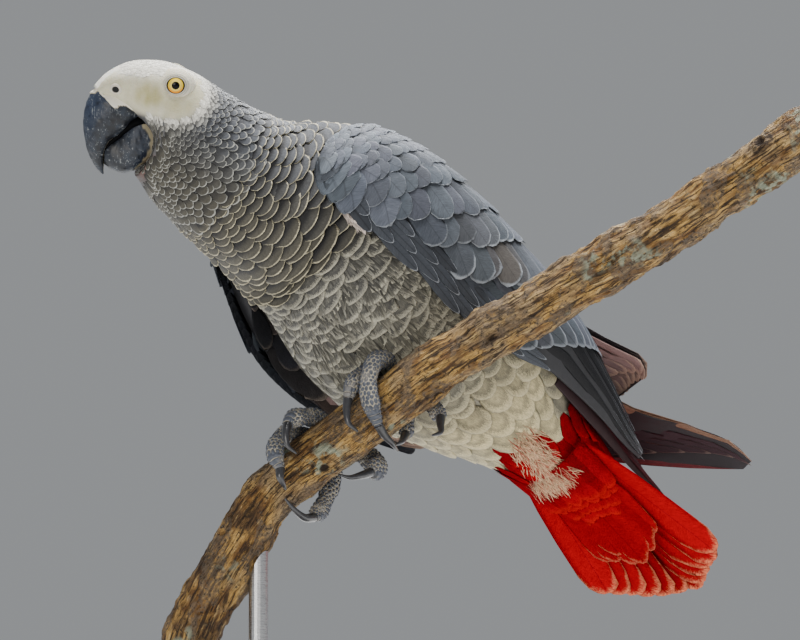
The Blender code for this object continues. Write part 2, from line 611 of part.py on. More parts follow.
def build_wing(side, wing, primaries, trunk_cutter):
    """One folded wing in four lengths, each lying against the flesh."""
    pieces = {"shoulder": (wing[0][0], SHOULDER_END + GAP / 2),
              "coverts": (SHOULDER_END - GAP / 2, COVERTS_END + GAP / 2),
              "secondaries": (COVERTS_END - GAP / 2, wing[-1][0])}
    for name, (front, back) in pieces.items():
        cut(make(f"wing_{side}_{name}", *wing_piece(wing, front, back), *WING_GREY), trunk_cutter)
    quills = wing_piece(primaries, primaries[0][0], primaries[-1][0])
    cut(make(f"wing_{side}_primaries", *quills, *QUILL), trunk_cutter)


def build_tail():
    for pair in range(TAIL_PAIRS):
        for side, sign in (("left", 1), ("right", -1)):
            level = 2 * pair + (sign < 0) if pair < 2 else pair + 2
            make(f"tail_feather_{side}_{pair + 1}", *tail_feather(pair, sign, level), *RED)
    make("tail_coverts_upper", *covert_wedge(UPPER_COVERTS), *RED)
    make("tail_coverts_under", *covert_wedge(UNDER_COVERTS), *RED)


def build_stand():
    make("branch", *branch_solid(), *BARK)
    make("stand_base", *stand_base(), *PAINT)
    low = BASE_SIZE[2] + GAP
    high = low + COLLAR_HEIGHT
    make("stand_collar", *upright(COLLAR_RADIUS, low, high), *STEEL)
    cut(make("stand_rod", *upright(ROD_RADIUS, high + GAP, ROD_TOP), *STEEL), branch_solid(GAP))


def build():
    global ROOT
    for obj in list(bpy.data.objects):
        bpy.data.objects.remove(obj)
    ROOT = bpy.data.objects.new("grey_parrot_model", None)
    bpy.context.scene.collection.objects.link(ROOT)

    trunk_cutter = flesh(SPINE[0], TRUNK_COVER, NECK_STEP, GAP)
    belly = build_flesh()
    build_bill()
    build_wing("left", LEFT_WING, LEFT_PRIMARIES, trunk_cutter)
    build_wing("right", RIGHT_WING, RIGHT_PRIMARIES, trunk_cutter)
    build_tail()
    cut(belly, branch_solid(GAP), *build_foot("left", LEFT_FOOT, trunk_cutter),
        *build_foot("right", RIGHT_FOOT, trunk_cutter))
    build_stand()


build()
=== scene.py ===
"""Looks of the life-size grey parrot on its cut branch and stand.

Lengths below are millimetres unless a name says otherwise; meshes are made in metres in the part's own frame:
+Z up, the bird faces -X, its left side is -Y. The driving sizes are those of the solids.
"""

import bpy
import numpy as np
from mathutils import Matrix, Vector


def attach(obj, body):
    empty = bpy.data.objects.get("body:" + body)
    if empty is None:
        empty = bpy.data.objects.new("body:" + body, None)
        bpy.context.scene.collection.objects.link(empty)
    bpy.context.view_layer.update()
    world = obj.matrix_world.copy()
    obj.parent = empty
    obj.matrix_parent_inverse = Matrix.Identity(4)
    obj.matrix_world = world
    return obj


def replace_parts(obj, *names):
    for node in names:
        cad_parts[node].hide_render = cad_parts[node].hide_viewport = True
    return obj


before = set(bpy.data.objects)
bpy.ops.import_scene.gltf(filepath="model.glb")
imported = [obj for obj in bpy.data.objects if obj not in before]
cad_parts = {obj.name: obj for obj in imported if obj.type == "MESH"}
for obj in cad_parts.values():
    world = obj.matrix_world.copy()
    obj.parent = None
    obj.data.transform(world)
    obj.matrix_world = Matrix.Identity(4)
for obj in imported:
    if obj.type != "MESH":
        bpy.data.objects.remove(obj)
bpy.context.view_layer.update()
MM = 0.001

# ================================================================ frames and curves

BODY_CENTRE = np.array([7.6, 12.0, 239.5])
BODY_PITCH = 40.5
HEAD_CENTRE = np.array([-102.5, 10.0, 308.6])
HEAD_YAW, HEAD_ROLL, HEAD_DIP = 23.0, -14.0, 0.0145


def unit(v):
    v = np.asarray(v, float)
    return v / np.linalg.norm(v, axis=-1, keepdims=True)


def body_axes():
    p = np.radians(BODY_PITCH)
    return np.array([-np.cos(p), 0, np.sin(p)]), np.array([0, -1.0, 0]), np.array([np.sin(p), 0, np.cos(p)])


FORE, LEFT, BACK = body_axes()


def bird(t, a, b):
    """Bird frame to world: t towards the head, a towards its left, b towards its back. Takes arrays too."""
    return BODY_CENTRE + np.multiply.outer(t, FORE) + np.multiply.outer(a, LEFT) + np.multiply.outer(b, BACK)


def head_axes():
    yaw, roll = np.radians(HEAD_YAW), np.radians(HEAD_ROLL)
    forward = unit([-np.cos(yaw), np.sin(yaw), -HEAD_DIP])
    level_left = unit(np.cross([0, 0, 1], forward))
    level_up = np.cross(forward, level_left)
    left = np.cos(roll) * level_left + np.sin(roll) * level_up
    return forward, left, np.cross(forward, left)


HEAD_FORE, HEAD_LEFT, HEAD_UP = head_axes()


def on_head(f, l, u):
    return (HEAD_CENTRE + np.multiply.outer(f, HEAD_FORE) + np.multiply.outer(l, HEAD_LEFT)
            + np.multiply.outer(u, HEAD_UP))


def head_place(points):
    """World points to the head frame: forward, left, up."""
    d = points - HEAD_CENTRE
    return d @ HEAD_FORE, d @ HEAD_LEFT, d @ HEAD_UP


def smooth(knots, values, x):
    """Cubic through the rows of values at increasing knots, with finite-difference slopes, read at x (array
    or number)."""
    knots, values = np.asarray(knots, float), np.asarray(values, float)
    slopes = np.gradient(values, knots, axis=0)
    i = np.clip(np.searchsorted(knots, x) - 1, 0, len(knots) - 2)
    h = knots[i + 1] - knots[i]
    s = (x - knots[i]) / h
    if values.ndim > 1:
        h, s = np.asarray(h)[..., None], np.asarray(s)[..., None]
    return ((2 * s**3 - 3 * s**2 + 1) * values[i] + (s**3 - 2 * s**2 + s) * h * slopes[i]
            + (3 * s**2 - 2 * s**3) * values[i + 1] + (s**3 - s**2) * h * slopes[i + 1])


def chord_knots(points):
    steps = np.linalg.norm(np.diff(np.asarray(points, float), axis=0), axis=1)
    return np.concatenate([[0.0], np.cumsum(steps)])


def smooth_path(rows, count, places=None):
    """Rows read at even steps along the path of their places, which are the rows themselves if not given."""
    knots = chord_knots(rows if places is None else places)
    return smooth(knots, rows, np.linspace(0.0, knots[-1], count))


def ease(x, low, high):
    """0 below low, 1 above high, smooth between. low may be above high."""
    x = np.clip((np.asarray(x, float) - low) / (high - low), 0, 1)
    return x * x * (3 - 2 * x)


def blend(colour, other, share):
    """Rows of colour moved towards another one, each by its share."""
    return colour + (other - colour) * share[..., None]


def turns(count):
    """That many angles spread evenly round a circle."""
    return np.arange(count) * 2 * np.pi / count


def ripple(points, scale, seed):
    """A smooth field of about -1 to 1 over points, from a few crossed waves; scale is its grain in
    millimetres."""
    rng = np.random.default_rng(seed)
    total = 0.0
    for _ in range(7):
        d = unit(rng.normal(size=3)) * (2 * np.pi / scale) * rng.uniform(0.6, 1.5)
        total = total + np.sin(points @ d + rng.uniform(0, 2 * np.pi))
    return total / 3.2


# ================================================================ meshes

def new_mesh(name, verts, faces, material, uv=None, points=(), colours=(), smooth_shade=True):
    """A mesh object in metres from points in millimetres. points: {name: (N, 3)} vectors; colours: {name: (N,
    4)}. uv: (N, 2) for each vertex, written as OFBake."""
    mesh = bpy.data.meshes.new(name)
    mesh.from_pydata((np.asarray(verts) * MM).tolist(), [], faces)
    for key, values in dict(points).items():
        layer = mesh.attributes.new(key, "FLOAT_VECTOR", "POINT")
        layer.data.foreach_set("vector", np.asarray(values, np.float32).ravel())
    for key, values in dict(colours).items():
        layer = mesh.color_attributes.new(key, "FLOAT_COLOR", "POINT")
        layer.data.foreach_set("color", np.asarray(values, np.float32).ravel())
    if uv is not None:
        corner = np.empty(len(mesh.loops), np.int32)
        mesh.loops.foreach_get("vertex_index", corner)
        layer = mesh.uv_layers.new(name="OFBake")
        layer.data.foreach_set("uv", np.asarray(uv, np.float32)[corner].ravel())
    mesh.materials.append(material)
    if smooth_shade:
        mesh.shade_smooth()
    obj = bpy.data.objects.new(name, mesh)
    bpy.context.scene.collection.objects.link(obj)
    return obj


def grid_faces(rows, columns):
    """Quads of a grid whose vertices run row by row, each row's end joined to its start."""
    i = np.arange(rows - 1)[:, None]
    j = np.arange(columns)[None]
    k = (j + 1) % columns
    quads = np.stack([i * columns + j, i * columns + k, (i + 1) * columns + k, (i + 1) * columns + j], -1)
    return quads.reshape(-1, 4).tolist()


def circles(turn, first, second):
    """Points of a unit circle for each row of two crossing directions: (rows, columns, 3)."""
    return np.cos(turn)[None, :, None] * first[:, None] + np.sin(turn)[None, :, None] * second[:, None]


def tube_mesh(rings):
    """Vertices and faces of a closed solid through rings (R, C, 3), both ends filled by a fan."""
    rings = np.asarray(rings, float)
    rows, columns = rings.shape[:2]
    verts = np.concatenate([rings.reshape(-1, 3), rings[0].mean(0)[None], rings[-1].mean(0)[None]])
    faces = grid_faces(rows, columns)
    last = (rows - 1) * columns
    for j in range(columns):
        k = (j + 1) % columns
        faces.append((rows * columns, k, j))
        faces.append((rows * columns + 1, last + j, last + k))
    return verts, faces


def tube_uv(rows, columns):
    """OFBake places of a tube mesh's vertices, its two end points last."""
    u, v = np.meshgrid(np.linspace(0, 1, rows), np.arange(columns) / columns, indexing="ij")
    return np.concatenate([np.stack([u, v], -1).reshape(-1, 2), [[0, 0.5], [1, 0.5]]])


def with_ends(values):
    """Values for a tube mesh's vertices from those of its rings (R, C, K); its end points take the end rings'
    first."""
    return np.concatenate([values.reshape(-1, values.shape[-1]), values[0, :1], values[-1, :1]])


TUBE_SIDEWAYS = (0.31, 0.17, 0.94)      # no tube starts along this


def tube_frames(path):
    """Unit tangents and two side vectors that turn as little as they can along a path."""
    path = np.asarray(path, float)
    tangents = unit(np.gradient(path, axis=0))
    u = unit(np.cross(tangents[0], TUBE_SIDEWAYS))
    us = []
    for t in tangents:
        u = unit(u - t * (u @ t))
        us.append(u)
    us = np.array(us)
    return tangents, us, np.cross(tangents, us)


def join_parts(parts):
    """Joins [(verts, faces)] into one pair."""
    verts, faces, at = [], [], 0
    for v, f in parts:
        verts.append(v)
        faces += [tuple(int(i) + at for i in face) for face in f]
        at += len(v)
    return np.concatenate(verts), faces


class Patch:
    """A curved surface known on a dense grid: rows along u (0..1), columns along v (0..1, wrapping when
    closed)."""

    def __init__(self, points, closed, outward):
        self.p, self.closed = np.asarray(points, float), closed
        along = np.gradient(self.p, axis=0)
        if closed:
            across = (np.roll(self.p, -1, 1) - np.roll(self.p, 1, 1)) / 2
        else:
            across = np.gradient(self.p, axis=1)
        self.n = unit(np.cross(along, across)) * outward
        self.rows, self.columns = self.p.shape[:2]
        self.spans = self.columns if closed else self.columns - 1
        self.grow_u = np.linalg.norm(along, axis=2) * (self.rows - 1)     # millimetres for each unit of u
        self.grow_v = np.linalg.norm(across, axis=2) * self.spans

    def _corners(self, u, v):
        x, y = np.asarray(u) * (self.rows - 1), np.asarray(v) * self.spans
        i = np.clip(np.floor(x).astype(int), 0, self.rows - 2)
        j = np.floor(y).astype(int)
        if not self.closed:
            j = np.clip(j, 0, self.columns - 2)
        return x - i, y - j, i, j % self.columns, (j + 1) % self.columns

    def read(self, field, u, v):
        fx, fy, i, j, k = self._corners(u, v)
        if field.ndim > 2:
            fx, fy = fx[..., None], fy[..., None]
        return ((1 - fx) * ((1 - fy) * field[i, j] + fy * field[i, k])
                + fx * ((1 - fy) * field[i + 1, j] + fy * field[i + 1, k]))

    def at(self, u, v, high):
        return (self.read(self.p, u, v) + unit(self.read(self.n, np.clip(u, 0, 1), v))
                * np.asarray(high)[..., None])


def patch_facing(points, row, column, toward):
    """An open patch whose outer face at that row and column looks toward a direction."""
    trial = Patch(points, False, 1.0)
    return trial if trial.n[row, column] @ toward > 0 else Patch(points, False, -1.0)


# ---------------------------------------------------------------- vanes

# Outlines of the vanes: place along it (0 root, 1 tip), width as a share of the widest.
SHAPES = {"scale": [(0, 0.3), (0.16, 0.62), (0.38, 0.93), (0.6, 1.0), (0.77, 0.93), (0.89, 0.72),
                    (0.965, 0.42), (1.0, 0.16)],
          "long": [(0, 0.34), (0.12, 0.66), (0.35, 0.93), (0.6, 1.0), (0.83, 0.95), (0.935, 0.72),
                   (0.982, 0.42), (1.0, 0.16)],
          "blade": [(0, 0.4), (0.1, 0.7), (0.3, 0.95), (0.55, 1.0), (0.75, 0.86), (0.89, 0.58), (0.965, 0.3),
                    (1.0, 0.08)],
          "blunt": [(0, 0.5), (0.14, 0.76), (0.36, 0.95), (0.6, 1.0), (0.86, 0.97), (0.95, 0.8), (0.988, 0.5),
                    (1.0, 0.2)]}
TOP_COLUMNS = np.array([-1.0, -0.8, -0.42, 0.0, 0.42, 0.8, 1.0])
UNDER_COLUMNS = np.array([0.55, 0.0, -0.55])
RING = len(TOP_COLUMNS) + len(UNDER_COLUMNS)
VANE_THICK = 0.12
FRAY_SPAN = (0.3, 0.8)         # share of the length over which an edge begins to fray
PATCH_UV = 0.003               # side of a vane's own patch of the OFBake map


def vane_faces(rows, count, start):
    """Faces of count closed vanes of rows rings each, their vertices numbered from start."""
    quads = np.array(grid_faces(rows, RING))
    caps = np.array([list(range(RING))[::-1], [(rows - 1) * RING + j for j in range(RING)]])
    step = np.arange(count)[:, None, None] * rows * RING + start
    return (quads[None] + step).reshape(-1, 4).tolist() + (caps[None] + step).reshape(-1, RING).tolist()


class Coat:
    """Collects vanes laid on patches and makes one joined mesh of them."""

    def __init__(self, name, material):
        self.name, self.material = name, material
        self.laid, self.faces = [], []

    def lay(self, patch, u, v, length, half, shape="scale", turn=0.0, low=0.0, high=1.0, curl=0.0,
            camber=0.15, roll=0.0, bend=0.0, frayed=0.0, tint=(0.3, 0.3, 0.3), rim=1.0, seed=1, least=1.0,
            pace=None):
        """Lays one vane at each (u, v). length and half width in mm; turn in radians away from the -u flow;
        low and high the heights of root and tip; curl lifts the tip's end; camber raises the shaft; roll
        tilts one edge up; bend swerves the tip sideways (mm); frayed cuts the edge's outline unevenly (share
        of the width); least: the least millimetres for each unit of v; pace: millimetres for each unit of u
        along the vane, if not the patch's own at the root."""
        u, v = np.atleast_1d(np.asarray(u, float)), np.atleast_1d(np.asarray(v, float))
        n, rows = len(u), len(SHAPES[shape])
        rng = np.random.default_rng(seed)

        def each(value):
            """One number for each vane, to go with its rows and its ring."""
            return np.broadcast_to(np.asarray(value, float), (n,))[:, None, None]

        length, half, turn, low, high = map(each, (length, half, turn, low, high))
        curl, camber, roll, bend, chance = map(each, (curl, camber, roll, bend, rng.random(n)))
        y, wide = np.array(SHAPES[shape]).T[:, :, None]
        x = np.concatenate([TOP_COLUMNS, UNDER_COLUMNS])
        outer = ease(y, *FRAY_SPAN)
        wave = frayed * rng.normal(size=(n, rows, 1)) * outer
        nick = frayed * rng.normal(size=(n, rows, RING)) * (np.abs(x) > 0.5) * outer
        X = x * wide * (1 + 0.6 * wave + 0.6 * nick)
        Y = y + 0.22 * nick * (half / length)
        across, along = X * half + bend * Y**2, Y * length
        c, s = np.cos(turn), np.sin(turn)
        run, side = along * c - across * s, along * s + across * c
        U = each(u) - run / each(patch.read(patch.grow_u, u, v) if pace is None else pace)
        V = each(v) + side / np.maximum(each(patch.read(patch.grow_v, u, v)), least)
        if not patch.closed:
            U, V = np.clip(U, -0.2, 1.0), np.clip(V, 0.0, 1.0)
        lift = low + (high - low) * Y + curl * Y**5 + camber * (1 - X**2) + roll * X
        under = np.arange(RING) >= len(TOP_COLUMNS)
        points = patch.at(U, V, lift - VANE_THICK * under * (1 - np.abs(x)))
        tipness = np.clip((Y - 0.55) / 0.45, 0, 1)
        sides = np.abs(x) * (0.5 + 0.5 * ease(Y, 0.3, 0.72))
        edge = np.clip(np.maximum(sides, np.sqrt(np.clip(X**2 * 0.6 + tipness**2, 0, 1.4))), 0, 1)
        place = np.stack([across - bend * Y**2, along, chance * 40 * np.ones_like(X)], -1)
        colour = np.concatenate([np.broadcast_to(np.asarray(tint, float), (n, 3)), each(rim)[:, 0]], 1)
        colour = colour[:, None, None] * np.ones((rows, RING, 1))
        home_u = np.clip(u, 0.004, 0.996)
        home_v = np.mod(v, 1.0) if patch.closed else np.clip(v, 0.004, 0.996)
        uv = np.stack([each(home_u) - (0.5 - Y) * PATCH_UV, each(home_v) + X * PATCH_UV * 0.5], -1).clip(0, 1)
        self.faces += vane_faces(rows, n, sum(len(part[0]) for part in self.laid))
        made = (points, uv, place, np.stack([X, Y, edge], -1), colour)
        self.laid.append([values.reshape(-1, values.shape[-1]) for values in made])

    def finish(self, slot):
        """Makes the mesh of all that was laid."""
        verts, uv, place, vane, tint = (np.concatenate(kind) for kind in zip(*self.laid))
        obj = new_mesh(self.name, verts, self.faces, self.material, uv, {"place": place, "vane": vane},
                       {"tint": tint})
        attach(obj, "root")
        return obj


# ================================================================ materials

class Wire:
    """A node's output that can be added to, taken from and multiplied by numbers and other outputs."""

    def __init__(self, shade, socket):
        self.shade, self.socket = shade, socket

    def __add__(self, other):
        return self.shade.math("ADD", self, other)

    def __radd__(self, other):
        return self.shade.math("ADD", other, self)

    def __sub__(self, other):
        return self.shade.math("SUBTRACT", self, other)

    def __mul__(self, other):
        return self.shade.math("MULTIPLY", self, other)


class Shade:
    """Builds one material's node tree with short calls."""

    def __init__(self, name):
        self.material = bpy.data.materials.new(name)
        self.material.use_nodes = True
        self.tree = self.material.node_tree

    def put(self, socket, value):
        """Links an output to a socket, or gives the socket a value."""
        if isinstance(value, Wire):
            self.tree.links.new(value.socket, socket)
        elif isinstance(value, tuple) and socket.type == "RGBA":
            socket.default_value = (*value, 1.0)
        else:
            socket.default_value = value

    def node(self, kind, out, inputs, **settings):
        """Adds a node, puts its inputs, named or numbered, and gives the output asked for."""
        made = self.tree.nodes.new(kind)
        for key, value in settings.items():
            setattr(made, key, value)
        for key, value in inputs.items():
            self.put(made.inputs[key], value)
        return Wire(self, made.outputs[out])

    def math(self, op, a, b=None, clamp=False):
        inputs = {0: a} if b is None else {0: a, 1: b}
        return self.node("ShaderNodeMath", 0, inputs, operation=op, use_clamp=clamp)

    def mix(self, share, a, b, kind="MIX"):
        return self.node("ShaderNodeMix", 2, {0: share, 6: a, 7: b}, data_type="RGBA", blend_type=kind)

    def brighten(self, colour, value):
        """The colour times a value."""
        return self.mix(1.0, colour, self.vector(value, value, value), "MULTIPLY")

    def step(self, value, low, high, to_low=0.0, to_high=1.0):
        """A smooth step of the value from low to high. low may be above high."""
        inputs = dict(enumerate((value, low, high, to_low, to_high)))
        return self.node("ShaderNodeMapRange", 0, inputs, interpolation_type="SMOOTHSTEP")

    def split(self, vector):
        first = self.node("ShaderNodeSeparateXYZ", 0, {0: vector})
        return [Wire(self, socket) for socket in first.socket.node.outputs]

    def vector(self, x, y, z):
        return self.node("ShaderNodeCombineXYZ", 0, {0: x, 1: y, 2: z})

    def carried(self, name):
        """The three numbers that the mesh's vertices carry under this name."""
        return self.split(self.node("ShaderNodeAttribute", "Vector", {}, attribute_name=name))

    def tint(self):
        """Colour and alpha of the vertices' tint."""
        colour = self.node("ShaderNodeAttribute", "Color", {}, attribute_name="tint")
        return colour, Wire(self, colour.socket.node.outputs["Alpha"])

    def here(self):
        """Place in the model's frame, in metres."""
        return self.node("ShaderNodeTexCoord", "Object", {})

    def turned(self, vector, rotation, scale):
        return self.node("ShaderNodeMapping", 0, {"Vector": vector, "Rotation": rotation, "Scale": scale})

    def noise(self, vector, scale, detail=3.0, rough=0.55):
        inputs = {"Vector": vector, "Scale": scale, "Detail": detail, "Roughness": rough}
        return self.node("ShaderNodeTexNoise", "Fac", inputs)

    def cells(self, vector, scale):
        return self.node("ShaderNodeTexVoronoi", "Distance", {"Vector": vector, "Scale": scale})

    def bump(self, height, strength, distance):
        return self.node("ShaderNodeBump", 0, {"Strength": strength, "Distance": distance, "Height": height})

    def end(self, colour, roughness, normal=None, **more):
        """Feeds the shader; more: its other sockets' values, with _ for each space in their names."""
        shader = self.tree.nodes["Principled BSDF"]
        if normal is not None:
            more["Normal"] = normal
        for key, value in {"Base_Color": colour, "Roughness": roughness, **more}.items():
            self.put(shader.inputs[key.replace("_", " ")], value)
        return self.material


def feather_material(name, rim, streak=0.35, shaft=0.0, rim_from=0.8, rim_to=0.95, rough=0.62, shade=0.0,
                     shade_from=0.55, shade_to=0.85, hair=0.0, fringe=0.16, sheen=0.08, gloss=0.3, bar=0.0):
    """A feather: barbs slanting off the shaft, or strands along it (hair); a rim of another colour, broken up
    by the barbs (fringe); shade where the feather above covers it; a dark bar inside the rim; and each vane's
    own tint."""
    s = Shade(name)
    tint, rim_share = s.tint()
    across, along, chance = s.carried("place")
    _, share, edge = s.carried("vane")
    off = s.math("ABSOLUTE", across)
    run = (along - off * 0.85) * (1.0 - 0.8 * hair)
    lines = s.noise(s.vector(across * (0.22 + 0.8 * hair), run, chance), 2.4, 2.0)
    fine = s.noise(s.vector(across * (0.12 + 0.7 * hair), run, chance), 6.0, 1.0)
    blotch = s.noise(s.vector(across, along, chance), 0.35, 2.0)
    value = ((lines - 0.5) * (1.8 * streak) + (fine - 0.5) * (1.3 * streak) + (blotch - 0.5) * (0.9 * streak)
             + 1.0)
    base = s.brighten(tint, value)
    if shade:
        base = s.mix(s.step(share, shade_to, shade_from, 0.0, shade), base, (0.010, 0.010, 0.012))
    wander = edge + (fine - 0.5) * fringe
    if bar:
        dark = (s.step(wander, rim_from - 0.30, rim_from - 0.08)
                * s.step(wander, rim_from + 0.06, rim_from - 0.04))
        base = s.mix(dark * bar, base, (0.035, 0.034, 0.034))
    colour = s.mix(s.math("MULTIPLY", s.step(wander, rim_from, rim_to), rim_share, clamp=True), base, rim)
    if shaft:
        colour = s.mix(s.step(off, 0.30, 0.1, 0.0, shaft), colour, (0.012, 0.012, 0.014))
    return s.end(colour, rough, s.bump(lines + fine * 0.6, 0.4, 0.0004), Sheen_Weight=sheen,
                 Sheen_Roughness=0.5, Specular_IOR_Level=gloss)


# How a firm wing feather's vane looks, and how loose down does.
SLEEK = {"fringe": 0.06, "sheen": 0.0, "gloss": 0.2}
DOWNY = {"hair": 1.0, "rim_to": 1.0, "rough": 0.75, "sheen": 0.1, "fringe": 0.6}


# ================================================================ camera, light and floor

TARGET = Vector((0.010, 0.012, 0.225))
CAMERA_AT = Vector((-1.0144, -1.6929, 0.0159))
FLOOR_HALF = 4000.0


def build_studio():
    camera = bpy.data.objects.new("camera", bpy.data.cameras.new("camera"))
    camera.location = CAMERA_AT
    camera.rotation_euler = (TARGET - CAMERA_AT).to_track_quat("-Z", "Y").to_euler()
    camera.data.lens, camera.data.sensor_width = 216.0, 36.0
    camera.data.clip_start, camera.data.clip_end = 0.05, 60.0
    bpy.context.scene.collection.objects.link(camera)
    bpy.context.scene.camera = camera

    world = bpy.context.scene.world or bpy.data.worlds.new("studio")
    bpy.context.scene.world = world
    world.use_nodes = True
    shade = world.node_tree.nodes["Background"]
    shade.inputs["Color"].default_value = (0.80, 0.83, 0.86, 1.0)
    shade.inputs["Strength"].default_value = 0.36

    def lamp(name, at, size, power, colour):
        data = bpy.data.lights.new(name, "AREA")
        data.shape, data.size, data.size_y, data.energy, data.color = ("RECTANGLE", size[0], size[1], power,
                                                                       colour)
        obj = bpy.data.objects.new(name, data)
        obj.location = at
        obj.rotation_euler = (TARGET - Vector(at)).to_track_quat("-Z", "Y").to_euler()
        bpy.context.scene.collection.objects.link(obj)

    lamp("key", (0.10, -0.15, 1.65), (0.6, 0.6), 46, (1.0, 0.985, 0.96))
    lamp("rim", (0.70, 0.75, 1.30), (0.7, 0.7), 26, (0.96, 0.98, 1.0))
    lamp("fill", (-1.5, -1.3, 0.55), (1.0, 0.8), 15, (1.0, 0.96, 0.9))

    s = Shade("floor_paint")
    grain = s.noise(s.here(), 60.0, 4.0)
    paint = s.end(s.mix(grain, (0.70, 0.70, 0.69), (0.76, 0.76, 0.75)), 0.8, s.bump(grain, 0.1, 0.0005))
    verts = np.array([(-1, -1, 0), (1, -1, 0), (1, 1, 0), (-1, 1, 0)], float) * FLOOR_HALF
    floor = new_mesh("floor", verts, [(0, 1, 2, 3)], paint, smooth_shade=False)


build_studio()


# ================================================================ flesh: one skin under the coat

# Sections of the flesh. Trunk: t, half width, height over the axis, depth under it. Neck: top and bottom as
# (t, left, back), half width. Head: top and bottom as (forward, up) in the head's frame, half width.
TRUNK = [(-97, 20, 15, 20), (-80, 27, 25, 28), (-60, 34, 36, 39), (-30, 41, 42, 52), (0, 43, 44, 55)]
NECK = [((32, 0, 42), (26, 0, -49), 42), ((52, 0, 36), (37, 0, -46.5), 39.5),
        ((70, 1.6, 25), (48, -1.6, -46.5), 36), ((81.5, 4, 14), (66, -4, -48.5), 32),
        ((95, 7, 7), (85, -7, -50), 27.5), ((107, 10.5, 2), (100.5, -8.5, -50), 23.5),
        ((116, 12.5, -1.5), (113.5, -9.5, -48), 20)]
HEAD = [((-14, 11), (11.8, -31), 18), ((-2.7, 15.5), (7.6, -27), 17.2), ((6.3, 16.6), (5.2, -16.2), 15.8),
        ((16.4, 15.2), (11.4, -7), 12.6), ((24.9, 10.4), (17.5, -2.1), 9), ((29.3, 5.5), (23.2, 0.7), 6.2)]
HEAD_WIDEST, BOXINESS = 0.58, 2.35
EYE_PLACE, EYE_RADIUS = (-3.1, 12.3, 7.1), 4.7
FLESH_ROWS, FLESH_COLUMNS = 300, 288


def flesh_stations():
    rows = []
    for t, half, up, down in TRUNK:
        rows.append([bird(t, 0, up), bird(t, 0, -down), half * LEFT, down / (up + down)])
    for top, bottom, half in NECK:
        top, bottom = bird(*top), bird(*bottom)
        across = LEFT - unit(top - bottom) * (LEFT @ unit(top - bottom))
        rows.append([top, bottom, half * unit(across), 0.5])
    for top, bottom, half in HEAD:
        rows.append([on_head(top[0], 0, top[1]), on_head(bottom[0], 0, bottom[1]), half * HEAD_LEFT,
                     HEAD_WIDEST])
    knots = chord_knots([r[1] + 0.5 * (r[0] - r[1]) for r in rows])
    return knots - knots[4], np.array([np.concatenate([r[0], r[1], r[2], [r[3]]]) for r in rows])


SPINE, STATIONS = flesh_stations()
TAIL_END, BILL_END = SPINE[0], SPINE[-1]


def share_of(s):
    """Distance along the spine to a share of the flesh patch's rows."""
    return (np.asarray(s, float) - TAIL_END) / (BILL_END - TAIL_END)


def coat_depth(s):
    """How far the skin lies inside the outline of the feathers, along the spine."""
    return np.interp(s, [TAIL_END, -60, 0, 60, 95, 118, 130, BILL_END],
                     [2.6, 3.2, 3.0, 2.4, 1.7, 1.1, 0.55, 0.35])


def flesh_points(depth):
    """Grid of the flesh's surface, that far inside the outline: rows along the spine, columns round it from
    the top down the bird's left side."""
    s = np.linspace(TAIL_END, BILL_END, FLESH_ROWS)
    row = smooth(SPINE, STATIONS, s)
    top, bottom, side, low = row[:, 0:3], row[:, 3:6], row[:, 6:9], row[:, 9:10]
    middle = bottom + low * (top - bottom)
    turn = turns(FLESH_COLUMNS)
    c, d = np.cos(turn), np.sin(turn)
    reach = np.where(c[None, :, None] > 0, (top - middle)[:, None], (bottom - middle)[:, None])
    power = 2 / BOXINESS
    offset = (reach * (np.abs(c) ** power)[None, :, None]
              + side[:, None] * (np.sign(d) * np.abs(d) ** power)[None, :, None])
    size = np.linalg.norm(offset, axis=2, keepdims=True)
    return middle[:, None] + offset * (1 - np.reshape(depth(s), (-1, 1, 1)) / size)


def bell(points, centre, radius):
    """1 at the centre, fading to 0 with a Gaussian of that radius, for points in the head frame."""
    d = np.stack(head_place(points), -1) - np.asarray(centre, float)
    return np.exp(-(d**2).sum(-1) / (radius**2))


def face_edge(points):
    """Millimetres outside the pale face, negative on it, seen from the side: an oval round the eye joined to
    the cere."""
    f, _, u = head_place(points)
    oval = 12.0 * (np.hypot((f + 0.5) / 14.0, (u - 4.5) / 10.5) - 1)
    band = np.maximum(np.abs(u - (3.5 + 0.1 * f)) - 9.0, 3.0 - f)
    below = -5.6 - (u - 0.16 * f)
    return np.maximum(np.minimum(oval, band), below)


def shape_face(points, normals):
    """The skin's own forms on the head: eye sockets, brows, cheeks and the rise of the cere."""
    f, l, u = head_place(points)
    out = np.zeros(points.shape[:2])
    for side in (1, -1):
        eye = np.array([EYE_PLACE[0], side * (EYE_PLACE[1] + 3.4), EYE_PLACE[2]])
        d = np.sqrt(((np.stack([f, l, u], -1) - eye) ** 2 * [1, 0.25, 1]).sum(-1))
        out -= 1.5 * np.exp(-(d / 4.6) ** 2)
        out += 0.45 * np.exp(-((d - 6.4) / 1.8) ** 2)
        out += 0.5 * bell(points, (1.5, side * 13.5, 12.5), 5.0)
        out += 0.5 * bell(points, (6.0, side * 15.0, -6.0), 6.5)
        out -= 0.7 * bell(points, (9.5, side * 13.0, 3.0), 4.5)
    rings = np.sin(np.hypot(f - EYE_PLACE[0], u - EYE_PLACE[2]) * 3.1
                   + 0.8 * np.sin(np.arctan2(u - EYE_PLACE[2], f) * 3))
    near = ease(np.hypot(f - EYE_PLACE[0], u - EYE_PLACE[2]), 11, 5) * (np.abs(l) > 8)
    out += 0.08 * rings * near
    crease = np.sin(2.6 * (u + 0.5 * f) + 1.4 * ripple(points, 9.0, 53)) * ease(np.abs(l), 6, 9)
    out += 0.05 * crease * ease(np.hypot((f - 6.0) / 9.0, (u + 1.0) / 6.0), 1.2, 0.5)
    out += 0.035 * ripple(points, 1.6, 54) * ease(face_edge(points), 1.0, -1.0)
    return points + normals * out[..., None]


